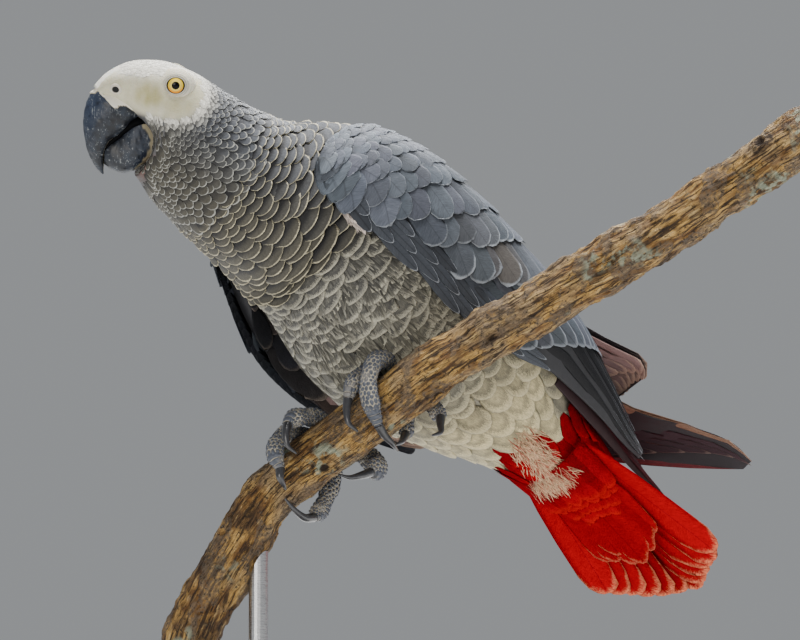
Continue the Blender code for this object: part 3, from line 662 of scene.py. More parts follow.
OUTLINE = Patch(flesh_points(np.zeros_like), True, 1.0)
OUTWARD = 1.0 if (OUTLINE.n[FLESH_ROWS // 2, 0] @ BACK) > 0 else -1.0
PLAIN_SKIN = Patch(flesh_points(coat_depth), True, OUTWARD)
SKIN = Patch(shape_face(PLAIN_SKIN.p, PLAIN_SKIN.n), True, OUTWARD)


def skin_material(name):
    s = Shade(name)
    here = s.here()
    fine = s.noise(here, 900.0, 3.0)
    folds = s.noise(here, 260.0, 4.0, 0.6)
    height = fine + folds * 1.2 + s.cells(here, 1500.0) * 0.4
    return s.end(s.brighten(s.tint()[0], 0.84 + folds * 0.32), 0.6, s.bump(height, 0.4, 0.0005),
                 Subsurface_Weight=0.05, Subsurface_Scale=0.001, Specular_IOR_Level=0.3)


FACE_WHITE, FACE_CREAM = np.array([0.82, 0.80, 0.72]), np.array([0.40, 0.36, 0.16])


def skin_tint(points):
    """Pale bare skin on the face, cream before the eye, dim grey under the coat, warm and pale under belly
    and vent."""
    f, l, u = head_place(points)
    s = np.linspace(TAIL_END, BILL_END, points.shape[0])[:, None] * np.ones(points.shape[:2])
    colour = blend(np.array([0.10, 0.10, 0.105]), np.array([0.20, 0.185, 0.15]), ease(s, 30, 0))
    colour = blend(colour, np.array([0.42, 0.38, 0.28]), ease(s, -35, -60))
    throat = np.exp(-(((f - 6.0) / 7.0) ** 2 + ((u + 27.0) / 4.5) ** 2))
    colour = blend(colour, np.array([0.16, 0.075, 0.055]), throat)
    face = ease(face_edge(points), 2.5, -1.0)
    colour = blend(colour, FACE_WHITE, face)
    cream = 0.9 * np.exp(-(((f - 8.0) / 10.0) ** 2 + ((u - 3.0) / 8.0) ** 2))
    cream = np.maximum(cream, 0.75 * np.exp(-(((f + 3.0) / 13.0) ** 2 + ((u + 0.5) / 6.5) ** 2)))
    mottle = 0.95 + 0.10 * ripple(points, 6.0, 51) + 0.04 * ripple(points, 2.0, 52)
    cream = np.maximum(cream, 0.55 * ease(u, 15, 7)) * mottle
    return blend(colour, FACE_CREAM, np.clip(1.1 * cream * face * (np.abs(l) > 5), 0, 1))


def build_skin():
    verts, faces = tube_mesh(SKIN.p)
    tint = with_ends(np.concatenate([skin_tint(SKIN.p), np.ones((FLESH_ROWS, FLESH_COLUMNS, 1))], -1))
    uv = tube_uv(FLESH_ROWS, FLESH_COLUMNS)
    skin = new_mesh("skin", verts, faces, skin_material("bird_skin"), uv, {}, {"tint": tint})
    if OUTWARD < 0:
        skin.data.flip_normals()
    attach(skin, "root")
    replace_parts(skin, "head", "neck", "breast", "belly", "vent", "thigh_left", "thigh_right")


build_skin()


# ================================================================ body coat

def along_table(s, rows):
    """Reads a table of (s, value...) at s."""
    rows = np.array(rows, float)
    return [np.interp(s, rows[:, 0], rows[:, k]) for k in range(1, rows.shape[1])]


# Place along the spine, distance between rows and between neighbours, height of the tips, lift of their ends.
COAT_TABLE = [(TAIL_END, 9.0, 13.0, 1.7, 0.0), (-70, 9.5, 14.5, 1.9, 0.0), (-48, 8.0, 13.0, 1.9, 0.1),
              (-32, 5.5, 12.0, 1.3, 0.0), (-15, 4.6, 12.5, 0.9, 0.0), (20, 4.4, 12.5, 0.8, 0.0),
              (44, 4.4, 12.0, 0.9, 0.0), (51, 4.4, 12.0, 1.8, 0.6), (55, 4.2, 13.0, 3.3, 1.3),
              (66, 4.0, 12.5, 2.8, 0.9), (78, 3.5, 10.0, 2.0, 0.7), (90, 2.9, 7.2, 1.5, 0.5),
              (100, 2.5, 5.0, 1.2, 0.4)]
VENT_EDGE = -26.0              # large smooth cream feathers from here to the tail
HEAD_COAT = 98.0               # past this the feathers are scattered, not laid in rows
COWL_EDGE = 53.0               # the neck's feathers end over the breast here
BELLY_HAIRS = 1275
HEAD_TRIES = 90000             # places tried for the head's small feathers
GIRTH_STEPS = 720


def coat_rows():
    rows, s = [], HEAD_COAT
    while s > TAIL_END + 3:
        rows.append(s)
        s -= along_table(s, COAT_TABLE)[0]
    return np.array(rows)


def ring_spread(u, count, shift):
    """Shares v round the flesh at u that lie evenly along its girth."""
    v = np.linspace(0, 1, GIRTH_STEPS + 1)
    girth = np.concatenate([[0], np.cumsum(SKIN.read(SKIN.grow_v, np.full(GIRTH_STEPS, u), v[:-1]))])
    return np.interp(np.mod((np.arange(count) + shift) / count, 1.0) * girth[-1], girth, v)


def scatter(points, gap, seed):
    """Picks points no nearer to each other than their own gap, in a chance order, so that they spread
    evenly."""
    cell = float(gap.max())
    keys = np.floor(points / cell).astype(int)
    around = [(a, b, c) for a in (-1, 0, 1) for b in (-1, 0, 1) for c in (-1, 0, 1)]
    grid, chosen = {}, []
    for i in np.random.default_rng(seed).permutation(len(points)):
        x, y, z = points[i]
        least = gap[i] ** 2
        a, b, c = keys[i]
        free = True
        for da, db, dc in around:
            for px, py, pz in grid.get((a + da, b + db, c + dc), ()):
                if (px - x) ** 2 + (py - y) ** 2 + (pz - z) ** 2 < least:
                    free = False
                    break
            if not free:
                break
        if free:
            grid.setdefault((a, b, c), []).append((x, y, z))
            chosen.append(i)
    return np.array(chosen)


NECK_DARK, NECK_COOL = np.array([0.074, 0.068, 0.053]), np.array([0.078, 0.085, 0.100])
BREAST_GREY, BELLY_GREY = np.array([0.135, 0.13, 0.112]), np.array([0.23, 0.215, 0.165])
VENT_CREAM, ROOT_RED = np.array([0.56, 0.475, 0.265]), np.array([0.36, 0.002, 0.002])
# how far up from the tail the red reaches, round the body
RED_AROUND = [0.0, 0.15, 0.20, 0.27, 0.33, 0.38, 0.43, 0.47, 0.52, 1.0]
RED_REACH = [9, 10, 14, 15, 20, 26, 27, 18, 10, 9]


def body_tint(points, s, v, chance):
    """Tint of each body feather."""
    f, _, u = head_place(points)
    top = (1 + np.cos(2 * np.pi * v)) / 2                  # 1 on the back, 0 under the belly
    colour = blend(NECK_DARK, NECK_COOL, ease(top, 0.25, 0.75))
    colour = blend(colour, BREAST_GREY, ease(s, COWL_EDGE, COWL_EDGE - 6) * ease(top, 0.9, 0.6))
    colour = blend(colour, BELLY_GREY, ease(s, 34, -12) * ease(top, 0.85, 0.5))
    colour = blend(colour, VENT_CREAM, ease(s, -22, -52) * ease(top, 0.75, 0.45))
    crown = ease(f + 0.7 * u, -4, 9) * ease(u, 3, 9)
    near_face = ease(face_edge(points), 5.6, -0.6) * (s > HEAD_COAT - 4)
    colour = blend(colour, FACE_WHITE, np.clip(np.maximum(crown, near_face), 0, 0.97))
    red_from = s - TAIL_END - np.interp(np.mod(v, 1.0), RED_AROUND, RED_REACH)
    colour = blend(colour, ROOT_RED, ease(red_from + 3.0 * ripple(points, 14.0, 55), 1.0, -1.0))
    return colour * (0.84 + 0.32 * chance)[:, None]


def lay_rows(neck, belly, rear, rng):
    """The rows of feathers from the neck to the tail, each half a feather's width off the row before."""
    for number, s in enumerate(coat_rows()):
        step, wide, high, curl = along_table(s, COAT_TABLE)
        u = share_of(s)
        girth = float(np.mean(SKIN.read(SKIN.grow_v, np.full(90, u), np.linspace(0, 1, 90, endpoint=False))))
        count = max(8, int(round(girth / wide)))
        v = (ring_spread(u, count, 0.5 * (number % 2) + rng.uniform(-0.12, 0.12))
             + rng.normal(0, 0.05, count) / count)
        vent = float(ease(s, VENT_EDGE + 4, VENT_EDGE - 8))
        soft = float(ease(s, COWL_EDGE, COWL_EDGE - 20)) * (1 - vent)
        wave = ripple(SKIN.at(np.full(count, u), v, np.zeros(count)), 34.0, 7)
        uu = u + (rng.normal(0, 0.10, count) + 0.35 * (1 - vent) * wave) * step / (BILL_END - TAIL_END)
        points = SKIN.at(uu, v, np.zeros(count))
        # rows spread where the flesh bends outward
        local = SKIN.read(SKIN.grow_u, uu, v) / (BILL_END - TAIL_END)
        tint = body_tint(points, np.full(count, s), v, rng.random(count))
        size = rng.normal(1, 0.06, count)
        coat = neck if s > COWL_EDGE - 3 else belly if s > VENT_EDGE else rear
        coat.lay(SKIN, uu, v, step * 2.5 * local * size, wide * 0.62 * size, "scale",
                 turn=rng.normal(0, 0.05 + 0.08 * soft, count) + 0.16 * soft * ripple(points, 22.0, 8),
                 low=0.02, high=high * rng.normal(1, 0.08 + 0.06 * soft, count),
                 curl=curl * rng.normal(1, 0.25, count), camber=0.10 * high,
                 roll=rng.normal(0.06, 0.05, count) * high, frayed=0.05 + 0.05 * soft, tint=tint,
                 rim=0.95 * rng.uniform(0.6, 1.0, count) * (1 - 0.35 * ease(s, -30, -60)), seed=100 + number)


def build_belly_hair(rng):
    """Single hairs between the belly's feathers."""
    hair = Coat("coat_belly_hair",
                feather_material("belly_hair", (0.62, 0.58, 0.46), streak=0.6, rim_from=0.5, gloss=0.12,
                                 shade=0.5, **DOWNY))
    n = BELLY_HAIRS
    s, v = rng.uniform(VENT_EDGE - 2, COWL_EDGE - 6, n), rng.uniform(0.22, 0.78, n)
    at = SKIN.at(share_of(s), v, np.zeros(n))
    flow = ripple(at, 26.0, 8)
    bars = 1.15 - 0.48 * ease(np.sin(s * 2 * np.pi / 5.2 + 2.6 * ripple(at, 20.0, 32)), 0.35, 1.0)
    hair.lay(SKIN, share_of(s), v, rng.uniform(7, 12, n), rng.uniform(0.35, 0.7, n), "blade",
             turn=rng.normal(0, 0.10, n) + 0.30 * flow, low=0.5, high=rng.uniform(0.75, 1.05, n), curl=0.0,
             camber=0.05, frayed=0.08,
             tint=body_tint(at, s, v, rng.random(n)) * (bars * rng.normal(1, 0.12, n))[:, None],
             rim=rng.uniform(0.0, 0.45, n), bend=rng.normal(0, 0.6, n), seed=31)
    hair.finish("belly_feathers")


def build_body_coat():
    neck_feather = feather_material("neck_feather", (0.70, 0.63, 0.43), streak=0.5, hair=0.6, shade=0.92,
                                    shade_from=0.55, shade_to=0.84, rim_from=0.86, rim_to=0.97)
    belly_feather = feather_material("belly_feather", (0.52, 0.49, 0.38), streak=0.9, hair=1.0, shade=0.55,
                                     shade_from=0.40, shade_to=0.86, rim_from=0.60, rim_to=1.02, fringe=0.8,
                                     bar=0.8)
    vent_feather = feather_material("vent_feather", (0.72, 0.63, 0.40), streak=0.7, hair=1.0, shade=0.25,
                                    shade_from=0.35, shade_to=0.9, rim_from=0.6, rim_to=1.1, fringe=0.7,
                                    bar=0.5)
    head_feather = feather_material("head_feather", (0.47, 0.47, 0.43), streak=0.4, hair=0.5, shade=0.6,
                                    shade_from=0.4, shade_to=0.78, rim_from=0.78, rim_to=0.95)
    face_feather = feather_material("face_feather", (0.86, 0.85, 0.78), streak=0.35, hair=0.6, shade=0.12,
                                    rim_from=0.8, rim_to=0.97, gloss=0.1)
    head, neck = Coat("coat_head", head_feather), Coat("coat_neck", neck_feather)
    belly, rear = Coat("coat_belly", belly_feather), Coat("coat_vent", vent_feather)
    rng = np.random.default_rng(11)
    lay_rows(neck, belly, rear, rng)
    build_belly_hair(rng)
    small = Coat("coat_face", face_feather)
    scatter_head(head, small)
    small.finish("face_feathers")
    head.finish("face_feathers")
    neck.finish("neck_feathers")
    belly.finish("belly_feathers")
    rear.finish("belly_feathers")


def scatter_head(coat, small):
    """The small feathers of the upper neck, cheeks and crown, smaller towards the face; the white ones go to
    small."""
    rng = np.random.default_rng(17)
    count = HEAD_TRIES
    u = rng.uniform(share_of(HEAD_COAT - 1), 1.0, count)
    v = rng.uniform(0, 1, count)
    area = SKIN.read(SKIN.grow_u, u, v) * SKIN.read(SKIN.grow_v, u, v)
    keep = rng.uniform(0, np.percentile(area, 99), count) < area
    u, v = u[keep], v[keep]
    points = SKIN.at(u, v, np.zeros(len(u)))
    f, l, up = head_place(points)
    edge = face_edge(points)
    crown = ((up > 12.5 - 0.12 * np.maximum(f, 0) + 1.2 * ripple(points, 7.0, 19))
             & (f < 19 + 1.5 * ripple(points, 5.0, 20)))
    keep = (edge > -0.4 + 0.9 * ripple(points, 6.0, 18)) | crown
    keep &= ~((f > 3.0) & (up < -5) & (up > -25) & (np.abs(l) < 9.5))      # round the lower bill
    keep &= ~((f > 9.0) & (up < -3))
    u, v, points, edge = u[keep], v[keep], points[keep], edge[keep]
    s = TAIL_END + u * (BILL_END - TAIL_END)
    along = np.interp(s, [HEAD_COAT, 106, 116, 130], [3.3, 2.7, 2.1, 1.6])
    gap = along * np.interp(edge, [-2, 0, 4, 12], [0.48, 0.48, 0.72, 1.0])
    gap = np.where(edge < 0, 1.15, gap)
    chosen = scatter(points, gap * 0.92, 3)
    u, v, points, gap, edge, s = u[chosen], v[chosen], points[chosen], gap[chosen], edge[chosen], s[chosen]
    tint = body_tint(points, s, v, rng.random(len(u)))
    size = rng.normal(1, 0.08, len(u))
    high = np.interp(gap, [1.0, 3.3], [0.12, 1.15])
    white = (edge < 2.2) | (tint.min(1) > 0.46)
    for target, pick, soft in ((coat, ~white, 1.0), (small, white, 0.38)):
        n = int(pick.sum())
        target.lay(SKIN, u[pick], v[pick], (gap * 2.3 * size)[pick], (gap * 0.74 * size)[pick], "scale",
                   turn=rng.normal(0, 0.09, n), low=0.0, high=soft * high[pick] * rng.normal(1, 0.1, n),
                   curl=0.25 * soft * high[pick], camber=0.1 * soft * high[pick],
                   roll=rng.normal(0.05, 0.04, n) * high[pick], frayed=0.06, tint=tint[pick],
                   rim=rng.uniform(0.6, 1.0, n) * soft, seed=21)


build_body_coat()


# ================================================================ wings

# Sections of a wing: t, then its lower edge, its upper edge and the control point of the curve between them,
# each as (left, back), and its thickness.
LEFT_WING = [(76, (42, -9), (35, 7), (44, -2), 3), (72, (44, -12), (29, 17), (47, 4), 6),
             (63, (46, -14), (20, 30), (51, 17), 9), (40, (47, -15), (11, 44), (54, 36), 10),
             (10, (48, -13), (8, 48), (54, 45), 9), (-20, (47, -12), (6, 49), (54, 46), 8),
             (-45, (43, -6), (5, 49), (50, 45), 6), (-63, (37, 4), (5, 47), (45, 42), 4.5),
             (-80, (32, 9), (7, 43), (38, 38), 3.5), (-100, (27, 13), (10, 35), (31, 32), 2.5),
             (-120, (21, 16), (13, 28), (23, 26), 2), (-131, (18.5, 18.5), (15, 24), (19, 22.5), 1.2)]
LEFT_PRIMARIES = [(-72, (29, 7), (9, 31), (31, 28), 2.4), (-100, (23, 10), (9, 26), (25, 24), 2.2),
                  (-130, (16, 13.5), (11.5, 21), (17, 19), 1.8),
                  (-150, (14.5, 15), (12.5, 19), (15, 18), 1.4),
                  (-160, (14, 16.5), (13, 18), (14, 17.5), 0.8)]
RIGHT_WING = [(64, (-44, -22), (-34, 8), (-49, -6), 6), (57, (-48, -28), (-24, 27), (-56, 6), 12),
              (40, (-54, -33.5), (-13, 44), (-61, 24), 14), (24, (-56.5, -39.5), (-10, 46), (-63, 29), 12),
              (6, (-58.5, -43.5), (-8, 48), (-65, 34), 10), (-14, (-59.5, -43), (-7, 49), (-66, 37), 8),
              (-36, (-59, -38.5), (-6, 50), (-66, 38), 7), (-60, (-56, -30), (-6, 51), (-61, 42), 6),
              (-82, (-50, -18), (-7, 56), (-57, 48), 4.5), (-100, (-40, 2), (-8, 62), (-46, 54), 3.5),
              (-116, (-30, 22), (-7, 65), (-34, 57), 2.5), (-123, (-21, 36), (-9, 60), (-24, 52), 1.2)]
RIGHT_PRIMARIES = [(-86, (-46, -11), (-18, 34), (-46, 20), 2.4), (-110, (-31, 8), (-11, 43), (-31, 32), 2.2),
                   (-130, (-18, 22), (-4, 47), (-17, 38), 1.8), (-150, (-6, 36), (1, 58), (-5, 50), 1.6),
                   (-168, (-1, 50), (3, 65), (0, 60), 1.2), (-181, (0, 62), (2, 66), (1, 64), 0.7)]
WING_ROWS, WING_COLUMNS, ROUND_COLUMNS = 160, 60, 12
NEAR_PRIMARIES, SECONDARIES = 7, 13
NEAR_EDGE_FEATHERS, FAR_EDGE_FEATHERS = 22, 30
# a wing counts as at least this wide where feathers are spread over its narrow ends
LEAST_GIRTH = 26.0
FRONT_ROOM = 7.0               # shortest feather laid at a wing's front end


def rounded(points, sign, reach):
    """A patch of the points with both long edges turned over: extra columns round each edge, reach deep."""
    plain = Patch(points, False, sign)
    turn = np.linspace(0, np.pi, ROUND_COLUMNS + 1)[1:]
    half = 0.5 * np.asarray(reach)[:, None, None]

    def edge(p, n, out):
        c, s = np.cos(turn)[None, :, None], np.sin(turn)[None, :, None]
        return p[:, None] - n[:, None] * half * (1 - c) + out[:, None] * 0.3 * half * s

    low = edge(points[:, 0], plain.n[:, 0], unit(points[:, 0] - points[:, 1]))
    high = edge(points[:, -1], plain.n[:, -1], unit(points[:, -1] - points[:, -2]))
    return Patch(np.concatenate([low[:, ::-1], points, high], 1), False, sign)


class Wing:
    """One wing's outer face as a patch: u from its tip (0) to its front (1), v from its lower edge to its
    upper one."""

    def __init__(self, table, inset):
        rows = sorted(table)
        self.low, self.high = rows[0][0], rows[-1][0]
        t = np.linspace(self.low, self.high, WING_ROWS)
        read = smooth([r[0] for r in rows], [[*r[1], *r[2], *r[3], r[4]] for r in rows], t)
        lower, upper, control = (read[:, None, k:k + 2] for k in (0, 2, 4))
        self.thick = read[:, 6]
        s = np.linspace(0, 1, WING_COLUMNS)[None, :, None]
        outer = (1 - s) ** 2 * lower + 2 * s * (1 - s) * control + s**2 * upper
        points = BODY_CENTRE + t[:, None, None] * FORE + outer[..., :1] * LEFT + outer[..., 1:] * BACK
        away = 1.0 if rows[0][1][0] + rows[0][2][0] > 0 else -1.0
        trial = Patch(points, False, 1.0)
        sign = 1.0 if trial.n[WING_ROWS // 2, WING_COLUMNS // 4] @ (away * LEFT) > 0 else -1.0
        depth = np.minimum(inset, 0.45 * self.thick)
        self.top = points - sign * trial.n * depth[:, None, None]
        self.under = points - sign * trial.n * (0.8 * self.thick)[:, None, None]
        self.bed = rounded(self.top, sign, 0.8 * self.thick - depth)
        self.back = rounded(self.under, -sign, 0.8 * self.thick - depth)

    def u(self, t):
        return (np.asarray(t, float) - self.low) / (self.high - self.low)

    def spot(self, t, share):
        """One place on the face, as u and v."""
        return self.u([t]), self.v([share])

    def v(self, share):
        """Share of the face from its lower edge to its upper one, to the patch's v."""
        return ((ROUND_COLUMNS + np.asarray(share, float) * (WING_COLUMNS - 1))
                / (WING_COLUMNS - 1 + 2 * ROUND_COLUMNS))

    def blade(self, name, material, tint, end=None):
        """The closed thin body of the wing under its feathers, of another tint at its tip end."""
        margin = slice(2, -2)
        rings = np.concatenate([self.top[margin, margin], self.under[margin, margin][:, ::-1]], 1)
        verts, faces = tube_mesh(rings)
        uv = tube_uv(*rings.shape[:2])
        tint, end = np.asarray(tint, float), np.asarray(tint if end is None else end, float)
        colours = np.concatenate([blend(tint, end, ease(uv[:, 0], 0.45, 0.2)), np.ones((len(verts), 1))], 1)
        obj = new_mesh(name, verts, faces, material, uv, {}, {"tint": colours})
        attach(obj, "root")


def row_of(wing, line, count, shift=0.0, chance=None):
    """count points spread evenly along a line of (t, share) knots, each off its place by chance: their u and
    v."""
    line = np.array(line, float)
    knots = chord_knots(line * np.array([1.0, 80.0]))
    at = (np.arange(count) + 0.5 + shift) / count
    t_off = 0.0
    if chance is not None:
        at = at + chance.normal(0, 0.13, count) / count
        t_off = chance.normal(0, 1.1, count)
    at = np.clip(at, 0.0, 1.0) * knots[-1]
    return wing.u(np.interp(at, knots, line[:, 0]) + t_off), wing.v(np.interp(at, knots, line[:, 1]))


def lay_tips(coat, patch, u, v, length, turn, **more):
    """Lays vanes whose tips, not roots, are at (u, v), shorter where the wing's front end comes first."""
    tip, gv = patch.read(patch.grow_u, u, v), np.maximum(patch.read(patch.grow_v, u, v), LEAST_GIRTH)
    length = np.minimum(length, np.maximum((1.0 - u) * tip / np.cos(turn), FRONT_ROOM))
    root_v = v - length * np.sin(turn) / gv
    pace = (tip + patch.read(patch.grow_u, u + length * np.cos(turn) / tip, root_v)) / 2
    coat.lay(patch, u + length * np.cos(turn) / pace, root_v, length, turn=turn, least=LEAST_GIRTH, pace=pace,
             **more)


def tints_of(rng, n, base, spread=0.12):
    return (np.asarray(base)[None] * rng.normal(1, spread, (n, 1)).clip(0.7, 1.35)
            * rng.normal(1, 0.02, (n, 3)))


# Rows of coverts on the near wing: line of the tips as (t, share), count, length, half width, turn at the
# lower and the upper edge, height of the tips, shape.
LEFT_ROWS = [([(-2, 0.16), (-9, 0.19), (-20, 0.28), (-32, 0.38), (-43, 0.55), (-52, 0.78), (-58, 1.0)], 12,
              33, 6.3, -0.36, -0.08, 1.7, "blunt"),
             ([(20, 0.15), (14, 0.18), (6, 0.26), (-6, 0.38), (-17, 0.56), (-26, 0.78), (-32, 1.0)], 12, 29,
              6.2, -0.36, -0.08, 1.95, "long"),
             ([(39, 0.11), (33, 0.16), (24, 0.25), (13, 0.38), (2, 0.56), (-8, 0.78), (-13, 1.0)], 12, 24,
              5.9, -0.34, -0.06, 2.1, "scale"),
             ([(54, 0.09), (49, 0.14), (41, 0.25), (31, 0.40), (21, 0.56), (11, 0.78), (6, 1.0)], 12, 20, 5.4,
              -0.3, -0.05, 2.1, "scale"),
             ([(65, 0.07), (58, 0.18), (50, 0.30), (41, 0.44), (32, 0.60), (24, 0.80), (20, 1.0)], 13, 16,
              4.6, -0.24, -0.04, 2.05, "scale"),
             ([(69, 0.12), (63, 0.24), (57, 0.36), (50, 0.48), (42, 0.63), (35, 0.82), (31, 1.0)], 14, 13,
              3.9, -0.2, -0.03, 1.95, "scale"),
             ([(71, 0.2), (67, 0.32), (62, 0.44), (56, 0.55), (50, 0.68), (43, 0.84), (39, 1.0)], 14, 11, 3.4,
              -0.15, -0.03, 1.8, "scale"),
             ([(72.5, 0.32), (69.5, 0.44), (66, 0.55), (61, 0.66), (55, 0.78), (49, 0.9), (45, 1.0)], 14, 9.5,
              3.0, -0.1, -0.02, 1.65, "scale"),
             ([(73.5, 0.45), (71, 0.58), (68.5, 0.68), (64.5, 0.78), (60, 0.88), (54, 1.0)], 12, 8.5, 2.8,
              -0.1, -0.02, 1.5, "scale"),
             ([(74.5, 0.58), (73, 0.7), (71, 0.8), (67.5, 0.9), (62, 1.0)], 10, 7.5, 2.5, -0.08, -0.02, 1.3,
              "scale")]


NEAR_SLATE, NEAR_BROWN = np.array([0.078, 0.089, 0.110]), np.array([0.098, 0.089, 0.082])


def lay_near_quills(wing, quills, rng):
    """The near wing's primaries, the feathers along its leading edge, and its secondaries."""
    # primaries: black blades with thin pale outer edges, the innermost on top
    for k in range(NEAR_PRIMARIES):
        share = k / (NEAR_PRIMARIES - 1)
        u, v = wing.spot(-131 + 30 * share**1.3, 0.02 + 0.90 * share)
        lay_tips(quills, wing.bed, u, v, 96 - 14 * share, -0.03 - 0.02 * share, half=4.0, shape="blade",
                 low=0.1 + 0.12 * k, high=0.1 + 0.2 * k, camber=0.3, roll=0.3,
                 tint=np.array([0.008, 0.008, 0.010]) * (1 + 0.6 * share), rim=0.85, seed=300 + k)
    # the dark narrow feathers along the leading edge, each a little in from the one before
    for k in range(NEAR_EDGE_FEATHERS):
        u, v = wing.spot(-64 + 5.2 * k, 0.015 + 0.05 * ((k * 2) % 5) / 2)
        lay_tips(quills, wing.bed, u, v, 38 - 0.9 * k, -0.10, half=2.5, shape="blade", low=0.3,
                 high=0.8 + 0.045 * k, camber=0.35, roll=0.3,
                 tint=np.array([0.050, 0.056, 0.068]) * rng.uniform(0.7, 1.4), rim=1.0, seed=320 + k)
    # secondaries and tertials, fanned from the lower edge to the back
    count = SECONDARIES
    u, v = row_of(wing, [(-40, 0.05), (-54, 0.12), (-66, 0.24), (-75, 0.42), (-84, 0.66), (-94, 0.96)], count)
    turn = np.linspace(-0.14, 0.02, count)
    for k in range(count):
        grey = NEAR_SLATE * (1.0 if 2 < k < 10 else 0.75)
        lay_tips(quills, wing.bed, u[k:k + 1], v[k:k + 1], 62.0, turn[k], half=6.4, shape="long", low=0.4,
                 high=1.15 + 0.05 * k, camber=0.35, roll=0.35, tint=tints_of(rng, 1, grey), rim=0.45,
                 seed=340 + k)


def lay_near_coverts(wing, coverts, rng):
    """The near wing's rows of coverts, brownish where the first two rows meet the leading edge."""
    for number, (line, count, length, half, turn0, turn1, high, shape) in enumerate(LEFT_ROWS):
        u, v = row_of(wing, line, count, shift=0.25 * (number % 2), chance=rng)
        turn = turn0 + (turn1 - turn0) * np.linspace(0, 1, count) ** 0.8 + rng.normal(0, 0.07, count)
        tint = tints_of(rng, count, NEAR_SLATE * (0.95 + 0.05 * number), 0.14)
        brownish = 0.9 if number == 0 else 0.3 if number == 1 else 0.0
        tint = blend(tint, NEAR_BROWN, brownish * np.exp(-((np.arange(count) - 3.0) / 1.3) ** 2))
        lay_tips(coverts, wing.bed, u, v, length * rng.normal(1, 0.06, count), turn,
                 half=half * rng.normal(1, 0.08, count), shape=shape, low=0.4 + 0.05 * number,
                 high=high + rng.normal(0, 0.12, count), curl=0.1, camber=0.25,
                 roll=0.22 + rng.normal(0, 0.08, count), bend=rng.normal(0, 0.7, count), frayed=0.06,
                 tint=tint, rim=rng.uniform(0.35, 1.0, count)
                 * (1 - 0.7 * ease(np.arange(count), 4, 7) * (number == 0)), seed=400 + number)


def build_wing_down(wing, rng):
    """Pale down where the wing's lower edge leaves the breast."""
    down = Coat("coat_wing_down",
                feather_material("wing_down", (0.72, 0.62, 0.55), streak=0.7, rim_from=0.5, gloss=0.15,
                                 shade=0.5, **DOWNY))
    n = 60
    u, v = wing.u(rng.uniform(49, 57, n)), wing.v(rng.normal(-0.075, 0.025, n))
    down.lay(wing.bed, u, v, rng.uniform(6, 9, n), rng.uniform(0.45, 0.9, n), "blade",
             turn=rng.normal(0.15, 0.2, n), low=-0.6, high=rng.uniform(0.1, 1.0, n),
             curl=rng.uniform(0, 0.6, n), camber=0.1, frayed=0.2,
             tint=np.array([0.50, 0.42, 0.37]) * rng.normal(1, 0.12, (n, 1)), rim=0.6,
             bend=rng.normal(0, 1.4, n), seed=440, least=LEAST_GIRTH)
    down.finish("wing_grey")


def build_long_quills():
    """The long black quills beyond the folded wing; their dark red is painted red bounce light from the tail.
    """
    far = Wing(LEFT_PRIMARIES, 1.0)
    # the dull red rim is painted red bounce light from the tail
    red_bounce_quill = feather_material("black_quill_red_bounce", (0.20, 0.13, 0.13), streak=0.35, shaft=0.4, rim_from=0.92,
                              rim_to=1.0, rough=0.5, **SLEEK)
    long_quills = Coat("coat_quills_left", red_bounce_quill)
    for k in range(4):
        u, v = far.spot(-160 + 13.0 * k, 0.45 + 0.08 * k)
        # dark red tint: black quills with painted red bounce light from the tail
        lay_tips(long_quills, far.bed, u, v, 88, 0.0, half=4.8, shape="blade", low=0.1, high=0.2 + 0.15 * k,
                 camber=0.25, tint=np.array([0.045, 0.006, 0.010]), rim=0.6, seed=500 + k)
    # the blade under them is dark red too: painted red bounce light
    far.blade("quills_left_under", DARK_SKIN, (0.020, 0.004, 0.006))
    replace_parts(long_quills.finish("flight_dark"), "wing_left_primaries")


def near_wing():
    wing = Wing(LEFT_WING, 1.6)
    wing.blade("wing_left_under", DARK_SKIN, (0.025, 0.025, 0.029))
    covert = feather_material("wing_feather", (0.34, 0.37, 0.41), streak=0.5, shaft=0.3, rim_from=0.93,
                              rim_to=1.0, rough=0.6, shade=0.55, shade_from=0.2, shade_to=0.7, **SLEEK)
    flight = feather_material("flight_feather", (0.42, 0.45, 0.50), streak=0.4, shaft=0.5, rim_from=0.91,
                              rim_to=0.99, rough=0.5, **SLEEK)
    coverts, quills = Coat("coat_wing_left", covert), Coat("coat_flight_left", flight)
    rng = np.random.default_rng(23)
    lay_near_quills(wing, quills, rng)
    lay_near_coverts(wing, coverts, rng)
    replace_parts(coverts.finish("wing_grey"), "wing_left_shoulder", "wing_left_coverts")
    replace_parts(quills.finish("flight_dark"), "wing_left_secondaries")
    build_wing_down(wing, rng)
    build_long_quills()


# Rows on the far wing's outer face: t of the tips' middle, count, length, half width, height.
RIGHT_ROWS = [(-42, 13, 34, 7.6, 1.3), (-18, 13, 30, 7.4, 1.6), (2, 14, 26, 7.0, 1.9), (18, 14, 22, 6.4, 2.0),
              (32, 15, 18, 5.6, 2.0), (43, 15, 14, 4.8, 1.9), (51, 15, 11, 4.0, 1.8), (57, 14, 9, 3.4, 1.6),
              (61.5, 12, 8, 2.8, 1.4)]
# Rows on its inner face: the same.
LINING_ROWS = [(-104, 8, 60, 7.5, 0.6), (-60, 12, 44, 7.5, 0.8), (-30, 14, 32, 6.0, 1.0),
               (-10, 15, 24, 5.0, 1.2), (8, 16, 20, 4.4, 1.3), (22, 15, 17, 4.0, 1.3), (35, 14, 14, 3.6, 1.2),
               (46, 12, 12, 3.2, 1.1), (55, 9, 10, 2.8, 1.0)]


# the far wing's slate is the near wing's darkened: painted shade of the bird's far side
FAR_SLATE_SHADED, FAR_MAUVE = np.array([0.052, 0.060, 0.078]), np.array([0.155, 0.105, 0.100])


